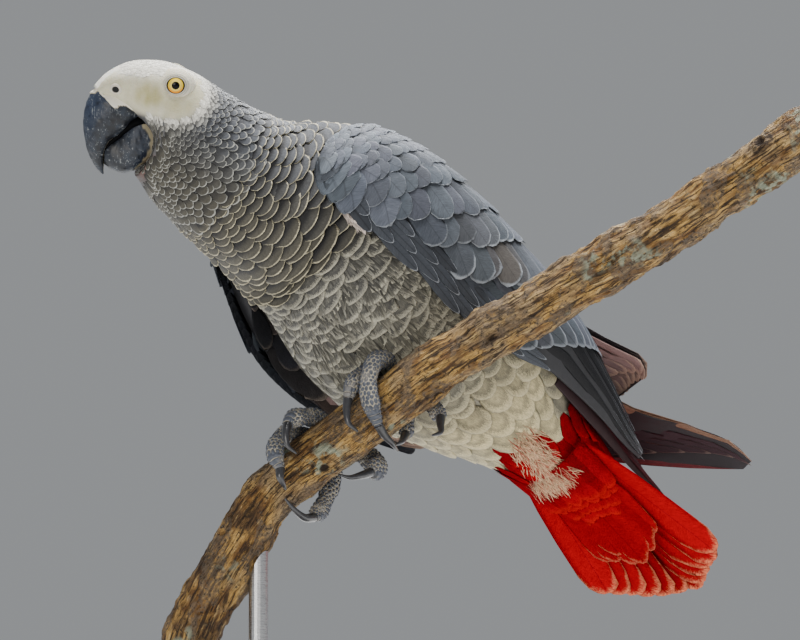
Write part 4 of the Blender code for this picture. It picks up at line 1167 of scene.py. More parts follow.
def lay_far_coverts(wing, coverts, rng):
    """The rows of coverts on the far wing's outer face, and the narrow feathers of its front edge."""
    for number, (t, count, length, half, high) in enumerate(RIGHT_ROWS):
        u, v = row_of(wing, [(t + 8, 0.0), (t, 0.5), (t - 8, 1.0)], count, shift=0.25 * (number % 2),
                      chance=rng)
        lay_tips(coverts, wing.bed, u, v, length * rng.normal(1, 0.05, count), rng.normal(-0.05, 0.05, count),
                 half=half * rng.normal(1, 0.07, count), shape="long" if number < 3 else "scale",
                 low=0.4 + 0.05 * number, high=high + rng.normal(0, 0.1, count), curl=0.1, camber=0.25,
                 roll=0.22, bend=rng.normal(0, 0.6, count), frayed=0.06, tint=tints_of(rng, count, FAR_SLATE_SHADED),
                 rim=rng.uniform(0.3, 0.9, count), seed=600 + number)
    # narrow feathers along the front edge, each covering the step between two rows
    for k in range(FAR_EDGE_FEATHERS):
        lay_tips(coverts, wing.bed, *wing.spot(60 - 4.6 * k, 0.012), 15.0 + 0.5 * k, 0.0, half=2.6 + 0.05 * k,
                 shape="long", low=0.3, high=1.0, camber=0.3, roll=0.25,
                 tint=tints_of(rng, 1, 0.6 * FAR_SLATE_SHADED), rim=0.3, seed=620 + k)


def lay_far_secondaries(wing, quills, rng):
    """Secondaries on both faces, each over one that reaches farther out and is painted darker as shade under
    it.
    """
    for k, share in enumerate(np.linspace(0, 1, SECONDARIES)):
        t = np.interp(share, [0, 0.25, 0.6, 1], [-68, -90, -110, -119])
        for face, colour in ((wing.bed, np.array([0.085, 0.074, 0.078])), (wing.back, 1.6 * FAR_MAUVE)):
            for beyond in (np.interp(share, [0, 0.25, 0.5, 0.8, 1], [10, 18, 15, 6, 2]), 0.0):
                over = float(beyond == 0.0)
                # the quill underneath gets 0.8 of the tint: painted shade under the one over it
                lay_tips(quills, face, *wing.spot(t - beyond, 0.06 + 0.88 * share), 74.0, -0.02, half=7.4,
                         shape="blunt", low=0.1 + 0.1 * over, high=0.25 + (0.35 + 0.04 * k) * over,
                         camber=0.35, roll=0.3, tint=tints_of(rng, 1, colour * (0.8 + 0.2 * over), 0.08),
                         rim=0.75, seed=640 + k + 20 * (1 - int(over)))


def lay_lining(wing, lining, rng):
    """The inner face, seen past the breast and behind the near wing: painted dark as the shade it lies in,
    darkest from the fourth row on, with brown fringes.
    """
    for number, (t, count, length, half, high) in enumerate(LINING_ROWS):
        u, v = row_of(wing, [(t + 4, 0.0), (t, 0.5), (t - 4, 0.95)], count, shift=0.25 * (number % 2),
                      chance=rng)
        # painted shade: the rows darken from the wingtip towards the shoulder, where the near wing and breast
        # hide them
        base = (FAR_MAUVE if number == 0 else np.array([0.034, 0.030, 0.032]) if number < 3
                else np.array([0.020, 0.021, 0.027]))
        warm = np.where(rng.uniform(0, 1, (count, 1)) < 0.35, np.array([[2.2, 1.7, 1.35]]), 1.0)
        lay_tips(lining, wing.back, u, v, length * rng.normal(1, 0.08, count), rng.normal(0.0, 0.08, count),
                 half=half, shape="scale", low=0.1, high=high, curl=0.2, camber=0.25, roll=0.2, frayed=0.12,
                 bend=rng.normal(0, 0.8, count), tint=tints_of(rng, count, base, 0.2) * warm,
                 rim=rng.uniform(0.2, 0.9, count), seed=660 + number)


def lay_far_primaries(quills):
    """The long far quills, their upper edges thin and brown against the light."""
    far = Wing(RIGHT_PRIMARIES, 1.0)
    far.blade("quills_right_under", DARK_SKIN, (0.014, 0.009, 0.012))
    for k in range(6):
        u, v = far.spot(-181 + 9.0 * k, 0.62 - 0.09 * k)
        for face in (far.bed, far.back):
            lay_tips(quills, face, u, v, 92, 0.0, half=7.0, shape="blade", low=0.1, high=0.25 + 0.1 * k,
                     camber=0.25, roll=0.1, tint=np.array([0.024, 0.011, 0.015]) * (1 + 0.1 * (5 - k)),
                     rim=0.25, seed=700 + k)
    for face in (far.bed, far.back):
        lay_tips(quills, face, *far.spot(-180, 0.93), 92, 0.0, half=3.2, shape="long", low=0.1, high=0.3,
                 camber=0.2, tint=np.array([0.20, 0.115, 0.075]), rim=0.9, seed=710)
        lay_tips(quills, face, *far.spot(-177, 0.06), 92, 0.0, half=2.2, shape="blade", low=0.1, high=0.4,
                 camber=0.2, tint=np.array([0.10, 0.012, 0.016]), rim=0.3, seed=711)


def far_wing():
    wing = Wing(RIGHT_WING, 1.6)
    # its body and coverts are darker copies of the near wing's: painted shade
    wing.blade("wing_right_under", DARK_SKIN, (0.016, 0.016, 0.020), (0.07, 0.05, 0.05))
    covert = feather_material("far_wing_feather_shaded", (0.17, 0.18, 0.20), streak=0.5, shaft=0.3, rim_from=0.93,
                              rim_to=1.0, rough=0.6, shade=0.5, shade_from=0.2, shade_to=0.7, **SLEEK)
    inner = feather_material("wing_lining", (0.20, 0.165, 0.14), streak=0.7, hair=0.4, rim_from=0.80,
                             rim_to=1.0, rough=0.65, shade=0.5, fringe=0.3, sheen=0.0, gloss=0.15)
    flight = feather_material("brown_quill", (0.44, 0.30, 0.23), streak=0.4, shaft=0.45, rim_from=0.90,
                              rim_to=0.99, rough=0.55, fringe=0.08, sheen=0.0, gloss=0.2)
    coverts, lining, quills = (Coat("coat_wing_right", covert), Coat("coat_lining_right", inner),
                               Coat("coat_flight_right", flight))
    rng = np.random.default_rng(31)
    lay_far_coverts(wing, coverts, rng)
    lay_far_secondaries(wing, quills, rng)
    lay_lining(wing, lining, rng)
    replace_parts(coverts.finish("wing_grey"), "wing_right_shoulder", "wing_right_coverts")
    lining.finish("flight_dark")
    lay_far_primaries(quills)
    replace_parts(quills.finish("flight_dark"), "wing_right_secondaries", "wing_right_primaries")


def dark_skin(name, **more):
    s = Shade(name)
    grain = s.noise(s.here(), 500.0, 3.0)
    return s.end(s.brighten(s.tint()[0], 0.7 + grain * 0.6), 0.7, s.bump(grain, 0.3, 0.0004), **more)


DARK_SKIN = dark_skin("dark_skin")
near_wing()
far_wing()


# ================================================================ tail

TAIL_ROOT, TAIL_TIP = (-98.8, 0.0, 3.0), (-196.0, -4.0, 5.0)       # in the bird's frame
TAIL_ROLL, TAIL_PAIRS = 20.0, 6
TAIL_ROOT_MIDDLE, TAIL_TIP_MIDDLE = 1.3, 3.5       # how far the first pair stands from the middle
TAIL_ROOT_STEP, TAIL_TIP_STEP, TAIL_SHORTER = 2.5, 5.6, 3.2        # and more for each pair farther out
FEATHER_STEP = 0.88            # height from one feather to the next
# The wedges of coverts: distance from the tail's root, half width, heights of their flat side and their back.
UPPER_COVERTS = [(0, 17, 0.4, 12), (12, 16, 0.4, 9), (24, 13, 0.4, 5), (34, 8, 0.4, 1.6)]
UNDER_COVERTS = [(0, 19, -7.2, -21), (14, 18, -7.2, -17), (28, 16, -7.2, -12), (40, 10, -7.2, -8.4)]


def tail_frame():
    root, tip = bird(*TAIL_ROOT), bird(*TAIL_TIP)
    along = unit(tip - root)
    roll = np.radians(TAIL_ROLL)
    left = np.cos(roll) * LEFT + np.sin(roll) * BACK
    left = unit(left - along * (left @ along))
    return root, along, left, np.cross(left, along), np.linalg.norm(tip - root)


TAIL_AT, TAIL_ALONG, TAIL_LEFT, TAIL_UP, TAIL_LENGTH = tail_frame()


def on_tail(x, y, z):
    return (TAIL_AT + np.multiply.outer(x, TAIL_ALONG) + np.multiply.outer(y, TAIL_LEFT)
            + np.multiply.outer(z, TAIL_UP))


def flat_patch(sign):
    """The tail's middle plane: u 0 at its tips and 1 at its root, v across from its right edge to its left
    one."""
    across = np.linspace(-TAIL_WIDE, TAIL_WIDE, 60)
    x, y = np.meshgrid(np.linspace(TAIL_LENGTH, 0, 60), across, indexing="ij")
    return patch_facing(on_tail(x, y, 0.0), 30, 30, sign * TAIL_UP)


def wedge_patch(table):
    """The back of a covert wedge, rounded across: u from its thin end to its root, v from its right edge to
    its left."""
    table = np.array(table, float)
    x = np.linspace(table[0, 0], table[-1, 0], 50)[::-1]
    half, near, far = (smooth(table[:, 0], table[:, k], x) for k in (1, 2, 3))
    turn = np.linspace(1, 0, 50) * np.pi
    y = half[:, None] * np.cos(turn)[None]
    z = near[:, None] + (far - near)[:, None] * (np.sin(turn).clip(0, 1) ** 0.7)[None]
    points = on_tail(x[:, None] * np.ones_like(y), y, z)
    return patch_facing(points, 20, 25, TAIL_UP * np.sign(table[0, 3] - table[0, 2]))


COVERTS_ACROSS, COLLAR_AROUND = 11, 26
TUFT_TRIES, VENT_TUFT_TRIES = 2600, 3800           # places tried for the down's hairs
TAIL_SPREAD = 30.0             # coverts and down spread as if what they lie on were at least this wide
TAIL_WIDE = 60.0               # half width of the plane that the tail's feathers are laid on


def lay_tail_feathers(coat, rng):
    """The twelve tail feathers in pairs from the middle out, and the shorter ones under them."""
    plane = flat_patch(1)
    for pair in range(TAIL_PAIRS):
        for side in (1, -1):
            level = 2 * pair + (side < 0) if pair < 2 else pair + 2
            y0 = side * (TAIL_ROOT_MIDDLE + TAIL_ROOT_STEP * pair)
            y1 = side * (TAIL_TIP_MIDDLE + TAIL_TIP_STEP * pair)
            length = TAIL_LENGTH - TAIL_SHORTER * pair - 1.0 + rng.uniform(-1.5, 0.5)
            tint = np.array([0.30, 0.0002, 0.005]) * (0.86 + 0.10 * pair) * rng.normal(1, 0.05)
            low = -level * FEATHER_STEP
            coat.lay(plane, 1.0, 0.5 + y0 / (2 * TAIL_WIDE), length, 9.2, "blunt",
                     turn=np.arctan2(y1 - y0, length), low=low - 0.3, high=low + 0.1, camber=0.3, curl=-0.8,
                     roll=-0.25 * side, bend=0.6 * side, frayed=0.09, tint=tint, rim=0.9,
                     seed=800 + 2 * pair + (side > 0))
    # shorter under feathers that lie over the shafts and darken the middle of the fan, seen from below
    below = flat_patch(-1)
    for k in range(9):
        y = (k - 4) * 4.0
        length = 66 - 1.7 * abs(k - 4) + rng.uniform(-4, 4)
        tint = np.array([0.29, 0.0002, 0.005]) * rng.normal(1, 0.08)
        coat.lay(below, 1.0, 0.5 + 0.45 * y / (2 * TAIL_WIDE), length, 7.5, "long",
                 turn=0.55 * np.arctan2(y, length), low=8.4, high=8.2 + 0.25 * (4 - abs(k - 4)), camber=0.4,
                 curl=0.3, frayed=0.08, tint=tint, rim=0.45, seed=820 + k)


def lay_tail_coverts(covers, rng):
    """Rows of red coverts over both wedges."""
    for number, table in enumerate((UPPER_COVERTS, UNDER_COVERTS)):
        patch = wedge_patch(table)
        for row, u in enumerate(np.linspace(-0.25, 0.86, 9)):
            count = COVERTS_ACROSS
            v = (np.arange(count) + 0.5 + 0.5 * (row % 2)) / (count + 0.5)
            length = 19.0 + 0.8 * row
            root = np.minimum(u + length / patch.read(patch.grow_u, np.full(count, max(u, 0.1)), v), 1.0)
            colour = np.array([0.32, 0.0003, 0.006]) * rng.normal(1, 0.15, (count, 1)).clip(0.6, 1.4)
            covers.lay(patch, root, v, length, 4.6, "long", turn=rng.normal(0, 0.08, count),
                       low=-0.8 + 0.25 * row, high=0.3 + 0.28 * row, curl=0.2, camber=0.4, frayed=0.2,
                       tint=colour, rim=0.5, seed=840 + 10 * number + row, least=TAIL_SPREAD)


def lay_tail_down(fluff, rng):
    """Cream down over the roots of the under coverts, in fine tufts, from the vent on."""
    def down(patch, u, v, tall, seed):
        n = len(u)
        pale = np.array([0.76, 0.49, 0.29]) * rng.normal(1, 0.10, (n, 1))
        colour = np.where(rng.uniform(0, 1, (n, 1)) < 0.22, np.array([0.50, 0.05, 0.03]), pale)
        fluff.lay(patch, u, v, rng.uniform(5, 11, n), rng.uniform(0.11, 0.22, n), "blade",
                  turn=rng.normal(0, 0.24, n), low=0.6 * tall, high=rng.uniform(0.8, 1.6, n) * tall,
                  curl=rng.uniform(0, 1.0, n), camber=0.1, frayed=0.2, tint=colour, rim=0.5,
                  bend=rng.normal(0, 1.0, n), seed=seed, least=TAIL_SPREAD)

    n = TUFT_TRIES
    v, u = rng.uniform(0.1, 0.95, n), rng.uniform(0.80, 1.0, n)
    keep = rng.uniform(0, 1, n) < np.exp(-((v - 0.54) / 0.12) ** 2) * ease(u, 0.80, 0.96)
    down(wedge_patch(UNDER_COVERTS), u[keep], v[keep], 2.2, 871)
    n = VENT_TUFT_TRIES
    v, s = rng.uniform(0.22, 0.5, n), rng.uniform(TAIL_END, TAIL_END + 25, n)
    keep = (rng.uniform(0, 1, n) < np.exp(-((v - 0.37 - 0.0012 * (TAIL_END + 8 - s)) / 0.030) ** 2)
            * ease(s, TAIL_END + 26, TAIL_END + 16))
    down(SKIN, share_of(s[keep]), v[keep], 2.8, 872)


def lay_collar(covers, rng):
    """A red collar from the vent over the roots of the coverts, reaching farthest up on the near side."""
    for number, back in enumerate((2, 7, 12, 17, 22, 26)):
        v = (np.arange(COLLAR_AROUND) + 0.5 * (number % 2)) / COLLAR_AROUND
        v = v[back < np.interp(v, RED_AROUND, RED_REACH)]
        count = len(v)
        # out over the root of the near wing's quills
        flare = 6.0 * np.exp(-((v - 0.14) / 0.06) ** 2) + 2.5 * np.exp(-((v - 0.57) / 0.08) ** 2)
        colour = np.array([0.30, 0.0003, 0.006]) * rng.normal(1, 0.12, (count, 1)).clip(0.7, 1.3)
        covers.lay(SKIN, np.full(count, share_of(TAIL_END + back)), v, 19.0 + rng.normal(0, 1.5, count), 4.8,
                   "scale", turn=rng.normal(0, 0.08, count), low=1.0 + 0.4 * flare, high=2.7 + flare,
                   camber=0.3, frayed=0.15, tint=colour, rim=0.5, seed=890 + number, least=TAIL_SPREAD)


def build_tail():
    under = feather_material("tail_under", (0.85, 0.26, 0.13), streak=0.45, shaft=0.35, rim_from=0.955,
                             rim_to=1.01, rough=0.55, sheen=0.0, gloss=0.0, fringe=0.25)
    coat = Coat("coat_tail", under)
    rng = np.random.default_rng(41)
    lay_tail_feathers(coat, rng)
    obj = coat.finish("tail_red")
    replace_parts(obj,
                *[f"tail_feather_{side}_{n + 1}" for side in ("left", "right") for n in range(TAIL_PAIRS)])

    red = feather_material("tail_covert", (0.55, 0.01, 0.006), streak=0.6, hair=0.8, rim_from=0.7, rim_to=1.0,
                           rough=0.6, sheen=0.0, gloss=0.0, fringe=0.5, shade=0.3)
    cream = feather_material("tail_fluff", (0.80, 0.60, 0.40), streak=0.8, rim_from=0.55, gloss=0.15,
                             shade=0.4, **DOWNY)
    covers, fluff = Coat("coat_tail_coverts", red), Coat("coat_tail_fluff", cream)
    lay_tail_coverts(covers, rng)
    lay_tail_down(fluff, rng)
    lay_collar(covers, rng)
    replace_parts(covers.finish("tail_red"), "tail_coverts_upper", "tail_coverts_under")
    fluff.finish("belly_feathers")


build_tail()


# ================================================================ bill, tongue, eyes

# Sections of the bill: ridge and edge as (forward, up) in the head's frame, half width. The lower half's
# first place is its top.
UPPER_BILL = [((23, 6.5), (8.2, -5.4), 6.2), ((29.2, 3.6), (11.6, -8.8), 8), ((31.6, 0), (14.6, -12.0), 8.3),
              ((32.6, -3.6), (18.4, -15.0), 7.8), ((33.2, -9.5), (22.3, -17.3), 6.8),
              ((32.7, -15.2), (24.4, -20.9), 5.4), ((31.3, -21), (24.8, -23.8), 4),
              ((29.4, -25.2), (24.6, -26.5), 2.7), ((27.4, -28.3), (24.7, -28.7), 1.5),
              ((25.3, -30.4), (24.6, -30.2), 0.5)]
LOWER_BILL = [((2, -13), (0, -18.5), 6), ((9.5, -10.5), (6, -24.3), 7.5), ((13.5, -11.8), (10.3, -27.2), 7.6),
              ((16.6, -16), (14.3, -29.7), 7), ((19.4, -18.6), (18.5, -29.6), 6.2),
              ((22, -18.8), (22.2, -27.8), 5), ((23.6, -19.6), (24, -25.8), 3.4)]
# Along the tongue: place, half width, half thickness, which is then made fuller.
TONGUE = [((12.8, -9.9), 2.2, 0.6), ((14.6, -11.4), 3.2, 0.8), ((16.8, -13.7), 3.5, 0.9),
          ((18.8, -15.8), 3.2, 0.9), ((20.2, -17.0), 2.0, 0.6)]
TONGUE_FULLER = 1.9


def horn_material():
    """Slate horn with worn scratches. The tint's alpha: up to 1 a tan cutting edge, 2 the pale cere."""
    s = Shade("bill_horn_worn")
    here = s.here()
    tint, alpha = s.tint()
    mottle = s.noise(here, 260.0, 5.0, 0.62)
    scratch = s.noise(s.turned(here, (0.5, 0.7, 0.3), (1900.0, 1300.0, 240.0)), 1.0)
    other = s.noise(s.turned(here, (-0.9, 0.2, 1.1), (150.0, 1700.0, 1500.0)), 1.0)
    worn = (s.math("MAXIMUM", s.step(scratch, 0.60, 0.68), s.step(other, 0.62, 0.70))
            * s.step(mottle, 0.42, 0.60))
    colour = s.mix(s.step(mottle, 0.40, 0.75) * 0.7, tint, (0.036, 0.048, 0.071))
    colour = s.mix(s.step(mottle, 0.48, 0.34) * 0.7, colour, (0.006, 0.007, 0.010))
    colour = s.mix(worn * 0.65, colour, (0.40, 0.42, 0.42))
    colour = s.mix(s.math("MINIMUM", alpha, 1.0), colour, (0.36, 0.31, 0.20))
    cere = s.step(alpha, 1.05, 1.7)
    cere_skin = s.mix(s.noise(here, 420.0, 3.0), (0.84, 0.81, 0.73), (0.66, 0.61, 0.49))
    rough = s.step(mottle, 0.3, 0.7, 0.34, 0.50) + cere * 0.2
    return s.end(s.mix(cere, colour, cere_skin), rough, s.bump(mottle + worn * -0.15, 0.4, 0.0004),
                 Specular_IOR_Level=0.45)


def bill_rings(sections, rings, sides, keel):
    """Dense rings through the bill's sections, and each column's cosine (1 on the ridge, -1 on the edge);
    keel narrows the flanks towards the ridge."""
    table = np.array([[*r, *e, h] for r, e, h in sections], float)
    rows = smooth_path(table, rings, (table[:, 0:2] + table[:, 2:4]) / 2)
    turn = turns(sides)
    c, d = np.cos(turn), np.sin(turn)
    ridge, edge = on_head(rows[:, 0], 0.0, rows[:, 1]), on_head(rows[:, 2], 0.0, rows[:, 3])
    middle, up = (ridge + edge) / 2, (ridge - edge) / 2
    reach = np.sign(c) * np.abs(c) ** 0.96
    flank = np.sign(d) * np.abs(d) ** 0.92 * (1 - keel * np.maximum(c, 0) ** 2 * 0.4)
    return (middle[:, None] + reach[None, :, None] * up[:, None]
            + (rows[:, 4, None] * flank)[..., None] * HEAD_LEFT, c)


def closed_piece(name, rings, material, tint):
    """A closed piece of one material through these rings, facing out."""
    verts, faces = tube_mesh(rings)
    obj = new_mesh(name, verts, faces, material, None, {}, {"tint": with_ends(tint)})
    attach(obj, "root")
    fix_outward(obj)
    return obj


def fix_outward(obj):
    """Turns a closed mesh's faces outward if they point in."""
    mesh = obj.data
    mesh.calc_loop_triangles()
    co = np.empty(len(mesh.vertices) * 3)
    mesh.vertices.foreach_get("co", co)
    tri = np.empty(len(mesh.loop_triangles) * 3, np.int32)
    mesh.loop_triangles.foreach_get("vertices", tri)
    p = co.reshape(-1, 3)[tri.reshape(-1, 3)]
    if np.einsum("ij,ij->i", p[:, 0], np.cross(p[:, 1], p[:, 2])).sum() < 0:
        mesh.flip_normals()


HORN = horn_material()


# The cere's lower edge on the horn, forward and up in the head's frame, from the ridge to the mouth's corner.
CERE_EDGE = [(34.0, 0.6), (31.5, 1.6), (27.2, 3.2), (24.6, 0.6), (21.4, -3.0), (18.9, -2.0), (16.4, -1.9),
             (13.8, -3.9), (11.0, -5.6)]
# The mouth's lining, painted near-black as the shadow inside the mouth: place, half width, half height.
MOUTH_SHADOW_LINING = [((2.0, -7.6), 4.5, 2.8), ((8.0, -7.9), 6.2, 3.0), ((12.0, -8.8), 6.8, 2.8),
              ((17.0, -12.4), 5.6, 1.9), ((20.2, -15.2), 4.8, 1.9), ((22.6, -17.6), 4.0, 1.7),
              ((24.0, -20.6), 3.2, 1.3), ((24.2, -24.2), 2.6, 1.1), ((23.2, -27.0), 1.8, 0.8)]
# The lower bill's top is raised over its sections: place forward, rise.
LOWER_RIM = [(5.0, 2.3), (9.5, 4.3), (13.5, 4.7), (16.6, 4.8), (19.4, 3.9), (22.0, 2.2), (24.0, 1.2)]


BILL_RINGS, BILL_SIDES = 190, 120
MOUTH_RINGS = 40               # rings of the tongue and of the mouth's lining, and points in each


def over_cere(rings):
    """How far above the cere's lower edge each point of the horn lies, in millimetres."""
    f, _, u = head_place(rings)
    edge = np.array(CERE_EDGE)[::-1]
    return u - np.interp(f, edge[:, 0], edge[:, 1])


def build_bill():
    for name, sections, node in (("bill_upper_horn", UPPER_BILL, "bill_upper"),
                                 ("bill_lower_horn", LOWER_BILL, "bill_lower")):
        upper = node == "bill_upper"
        rings, c = bill_rings(sections, BILL_RINGS, BILL_SIDES, 1.0 if upper else 0.3)
        length = np.linspace(0, 1, len(rings))[:, None]
        out = unit(rings - rings.mean(1, keepdims=True))
        lump = 0.12 * ripple(rings, 9.0, 5) + 0.05 * ripple(rings, 3.0, 6) + 0.02 * ripple(rings, 1.2, 7)
        # the second colour is the horn's slate tone, and on the upper bill also a painted sheen of reflected
        # light
        base, tone_and_sheen = np.array([0.008, 0.010, 0.015]), np.array([0.030, 0.044, 0.080])
        if upper:
            cere = over_cere(rings) + 0.25 * ripple(rings, 2.5, 9)
            growth = 0.05 * np.sin(length * 60 + 2 * c[None]) * ease(length, 0.15, 0.3)
            lip = 0.5 * ease(cere, -0.15, 0.5)
            rings = rings + out * ((lump + growth) * ease(1 - length, 0, 0.25) + lip)[..., None]
            # painted sheen: the slate share grows towards the ridge and fades down to the cutting edge
            high = ease(c, -0.2, 0.9)[None] * np.ones_like(length)
            edge = 0.6 * ease(-c, 0.78, 0.96)[None] * np.ones_like(length)
        else:
            rim = np.array(LOWER_RIM)
            rise = np.interp(head_place(rings)[0], rim[:, 0], rim[:, 1]) * ease(c, 0.0, 0.9)[None]
            rings = rings + out * (lump + 0.012 * np.sin(length * 70))[..., None] + rise[..., None] * HEAD_UP
            rings = rings + (0.8 * ease(length, 0.85, 1.0))[..., None] * HEAD_FORE
            cere = -np.ones(rings.shape[:2])
            high = 0.35 * np.ones(rings.shape[:2])
            f, _, u = head_place(rings)
            back = np.interp(u, [-28, -22, -16, -10], [12.0, 7.5, 6.0, 9.5])
            rear = ease(f - back + 0.5 * ripple(rings, 3.0, 11), 0.7, -0.5)
            under = 0.5 * ease(-c, 0.93, 1.0)[None] * ease(length, 0.7, 0.4)
            edge = np.maximum(ease(c, 0.86, 0.98)[None] * 0.5, np.maximum(0.9 * rear, under))
        white = ease(cere, 0.0, 0.4)
        colour = blend(blend(base, tone_and_sheen, high * ease(1 - length, 0.1, 0.7)), FACE_WHITE, white)
        tint = np.concatenate([colour, np.maximum(edge * (1 - white), 2.0 * white)[..., None]], -1)
        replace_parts(closed_piece(name, rings, HORN, tint), node)
    dark = dark_skin("mouth_skin", Specular_IOR_Level=0.06)
    tongue = [(at, wide, thick * TONGUE_FULLER) for at, wide, thick in TONGUE]
    # the lining's near-black is painted shadow of the mouth's inside, darker than the tongue's own colour
    for name, table, colour in (("tongue_flesh", tongue, (0.006, 0.007, 0.012)),
                                ("mouth_lining_shadow", MOUTH_SHADOW_LINING, (0.0015, 0.0015, 0.002))):
        table = np.array([[f, u, w, h] for (f, u), w, h in table])
        rows = smooth_path(table, MOUTH_RINGS, table[:, :2])
        thick, wide = rows[:, 3, None] * unit(HEAD_UP + HEAD_FORE), rows[:, 2, None] * HEAD_LEFT
        rings = on_head(rows[:, 0], 0.0, rows[:, 1])[:, None] + circles(turns(MOUTH_RINGS), thick, wide)
        rings = (rings + unit(rings - rings.mean(1, keepdims=True))
                 * (0.08 * ripple(rings, 1.6, 12))[..., None])
        tint = np.tile(np.array([*colour, 0.0]), (MOUTH_RINGS, MOUTH_RINGS, 1))
        obj = closed_piece(name, rings, dark, tint)
        if name == "tongue_flesh":
            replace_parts(obj, "tongue")


build_bill()


def lathe(name, profile, centre, axis, up, sides, material, colours, squash, wobble=None):
    """A surface of revolution: profile rows are (radius, height along the axis); colours one per row."""
    axis = unit(axis)
    side = unit(np.cross(axis, unit(up)))
    up = np.cross(side, axis)
    turn = turns(sides)
    radius, height = (np.asarray(profile, float)[:, k, None] * np.ones(sides) for k in (0, 1))
    if wobble is not None:
        radius, height = wobble(radius, height, turn[None] * np.ones_like(radius))
    spread = (np.cos(turn)[None, :, None] * side * squash[0] + np.sin(turn)[None, :, None] * up * squash[1])
    rings = np.asarray(centre) + radius[..., None] * spread + height[..., None] * axis
    tint = np.repeat(np.asarray(colours, float)[:, None], sides, 1)
    closed_piece(name, rings, material, tint)


IRIS_RADIUS, PUPIL_RADIUS = 3.35, 1.62
EYE_OPENING = np.sqrt(EYE_RADIUS**2 - IRIS_RADIUS**2)       # height of the iris's edge over the ball's centre
LID_GREY, LID_CREAM = np.array([0.46, 0.44, 0.37]), np.array([0.74, 0.70, 0.57])
LID_DARK = np.array([0.035, 0.033, 0.03])
# rings of the eyelid: radius, height over the opening, colour
EYELID = [(3.25, -0.5, LID_DARK), (3.28, 0.16, LID_DARK), (3.42, 0.30, LID_DARK), (3.62, 0.32, LID_GREY),
          (3.85, 0.22, LID_GREY), (4.1, 0.0, LID_GREY * 0.8), (4.4, 0.02, LID_CREAM * 0.8),
          (4.8, -0.22, LID_GREY), (5.1, -0.45, LID_CREAM * 0.85), (5.5, -0.75, LID_CREAM),
          (6.0, -1.25, LID_CREAM * 0.9), (6.6, -2.0, LID_CREAM), (7.3, -3.2, LID_CREAM),
          (7.6, -4.6, LID_CREAM)]


EYELID_RINGS, EYELID_SIDES = 60, 96
BALL_RINGS, BALL_SIDES = 60, 72


def wrinkled(radius, height, around):
    """An eyelid's rings made oval and wrinkled."""
    wrinkle = 0.07 * np.sin(radius * 9 + 1.2 * np.sin(around * 2)) * ease(radius, 3.7, 4.5)
    oval = radius * (1 + 0.03 * np.cos(2 * around)) + 0.03 * np.sin(around * 17) * ease(radius, 3.6, 4.2)
    return oval, height + wrinkle


def eye_material():
    s = Shade("eye_ball")
    across, up, _ = s.carried("place")
    radius = s.math("SQRT", across * across + up * up)
    fibre = s.noise(s.vector(s.math("ARCTAN2", up, across) * 9.0, radius * 0.5, 0.0), 1.0, 2.0)
    yellow = s.mix(fibre, (0.90, 0.67, 0.06), (0.78, 0.50, 0.03))
    yellow = s.mix(s.step(up, 0.4, -2.6) * s.step(radius, 1.4, 2.9), yellow, (0.78, 0.28, 0.01))
    yellow = s.mix(s.step(radius, 2.6, 1.5) * 0.6, yellow, (0.92, 0.79, 0.26))
    iris = s.mix(s.step(radius, IRIS_RADIUS - 0.42, IRIS_RADIUS - 0.1), yellow, (0.02, 0.016, 0.012))
    colour = s.mix(s.step(radius, PUPIL_RADIUS + 0.1, PUPIL_RADIUS - 0.08), iris, (0.002, 0.002, 0.003))
    return s.end(colour, 0.06, Specular_IOR_Level=0.14)


def build_eyes():
    ball, lid = eye_material(), skin_material("eyelid_skin")
    table = np.array([[radius, EYE_OPENING + height, *colour] for radius, height, colour in EYELID])
    rows = smooth_path(table, EYELID_RINGS, table[:, :2])
    colours = np.concatenate([np.clip(rows[:, 2:], 0.02, 0.9), np.ones((EYELID_RINGS, 1))], 1)
    lat = np.linspace(0.02, np.pi - 0.02, BALL_RINGS)[:, None, None]
    turn = turns(BALL_SIDES)[None, :, None]
    for name, sign in (("left", 1), ("right", -1)):
        centre = on_head(EYE_PLACE[0], sign * EYE_PLACE[1], EYE_PLACE[2])
        axis = unit(0.10 * HEAD_FORE + sign * HEAD_LEFT + 0.07 * HEAD_UP)
        side = unit(np.cross(axis, HEAD_UP))
        up = np.cross(side, axis)
        flat = EYE_RADIUS * np.sin(lat) * (np.cos(turn) * side + np.sin(turn) * up)
        verts, faces = tube_mesh(centre + flat + EYE_RADIUS * np.cos(lat) * axis)
        d = verts - centre
        place = np.stack([d @ side, d @ up, d @ axis], -1)
        place[:, 0] += (place[:, 2] < 0) * 20.0            # no iris on the back of the ball
        obj = new_mesh(f"eyeball_{name}", verts, faces, ball, None, {"place": place})
        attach(obj, "root")
        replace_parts(obj, f"eye_{name}")
        fix_outward(obj)
        lathe(f"eyelid_{name}", rows[:, :2], centre, axis, HEAD_UP, EYELID_SIDES, lid, colours, (1.04, 0.97),
              wrinkled)


build_eyes()


NOSTRIL_PLACE, NOSTRIL_SIDES = (19.6, 7.0, 5.8), 40
NOSTRIL_SHADOW_BLACK, NOSTRIL_GREY, NOSTRIL_WHITE = (0.004, 0.004, 0.004), (0.12, 0.11, 0.10), (0.62, 0.58, 0.48)
# rings of a nostril: radius, height over the skin, colour; its black is painted shadow of the hole
NOSTRIL = [(0.25, 0.10, NOSTRIL_SHADOW_BLACK), (0.9, 0.12, NOSTRIL_SHADOW_BLACK), (1.18, 0.16, NOSTRIL_SHADOW_BLACK),
           (1.35, 0.36, NOSTRIL_GREY), (1.6, 0.48, NOSTRIL_WHITE), (1.95, 0.36, NOSTRIL_WHITE),
           (2.4, 0.05, NOSTRIL_WHITE), (2.5, -0.5, NOSTRIL_WHITE)]


def nearest_skin(point):
    d = np.linalg.norm(SKIN.p - point, axis=2)
    i, j = np.unravel_index(np.argmin(d), d.shape)
    return SKIN.p[i, j], SKIN.n[i, j]


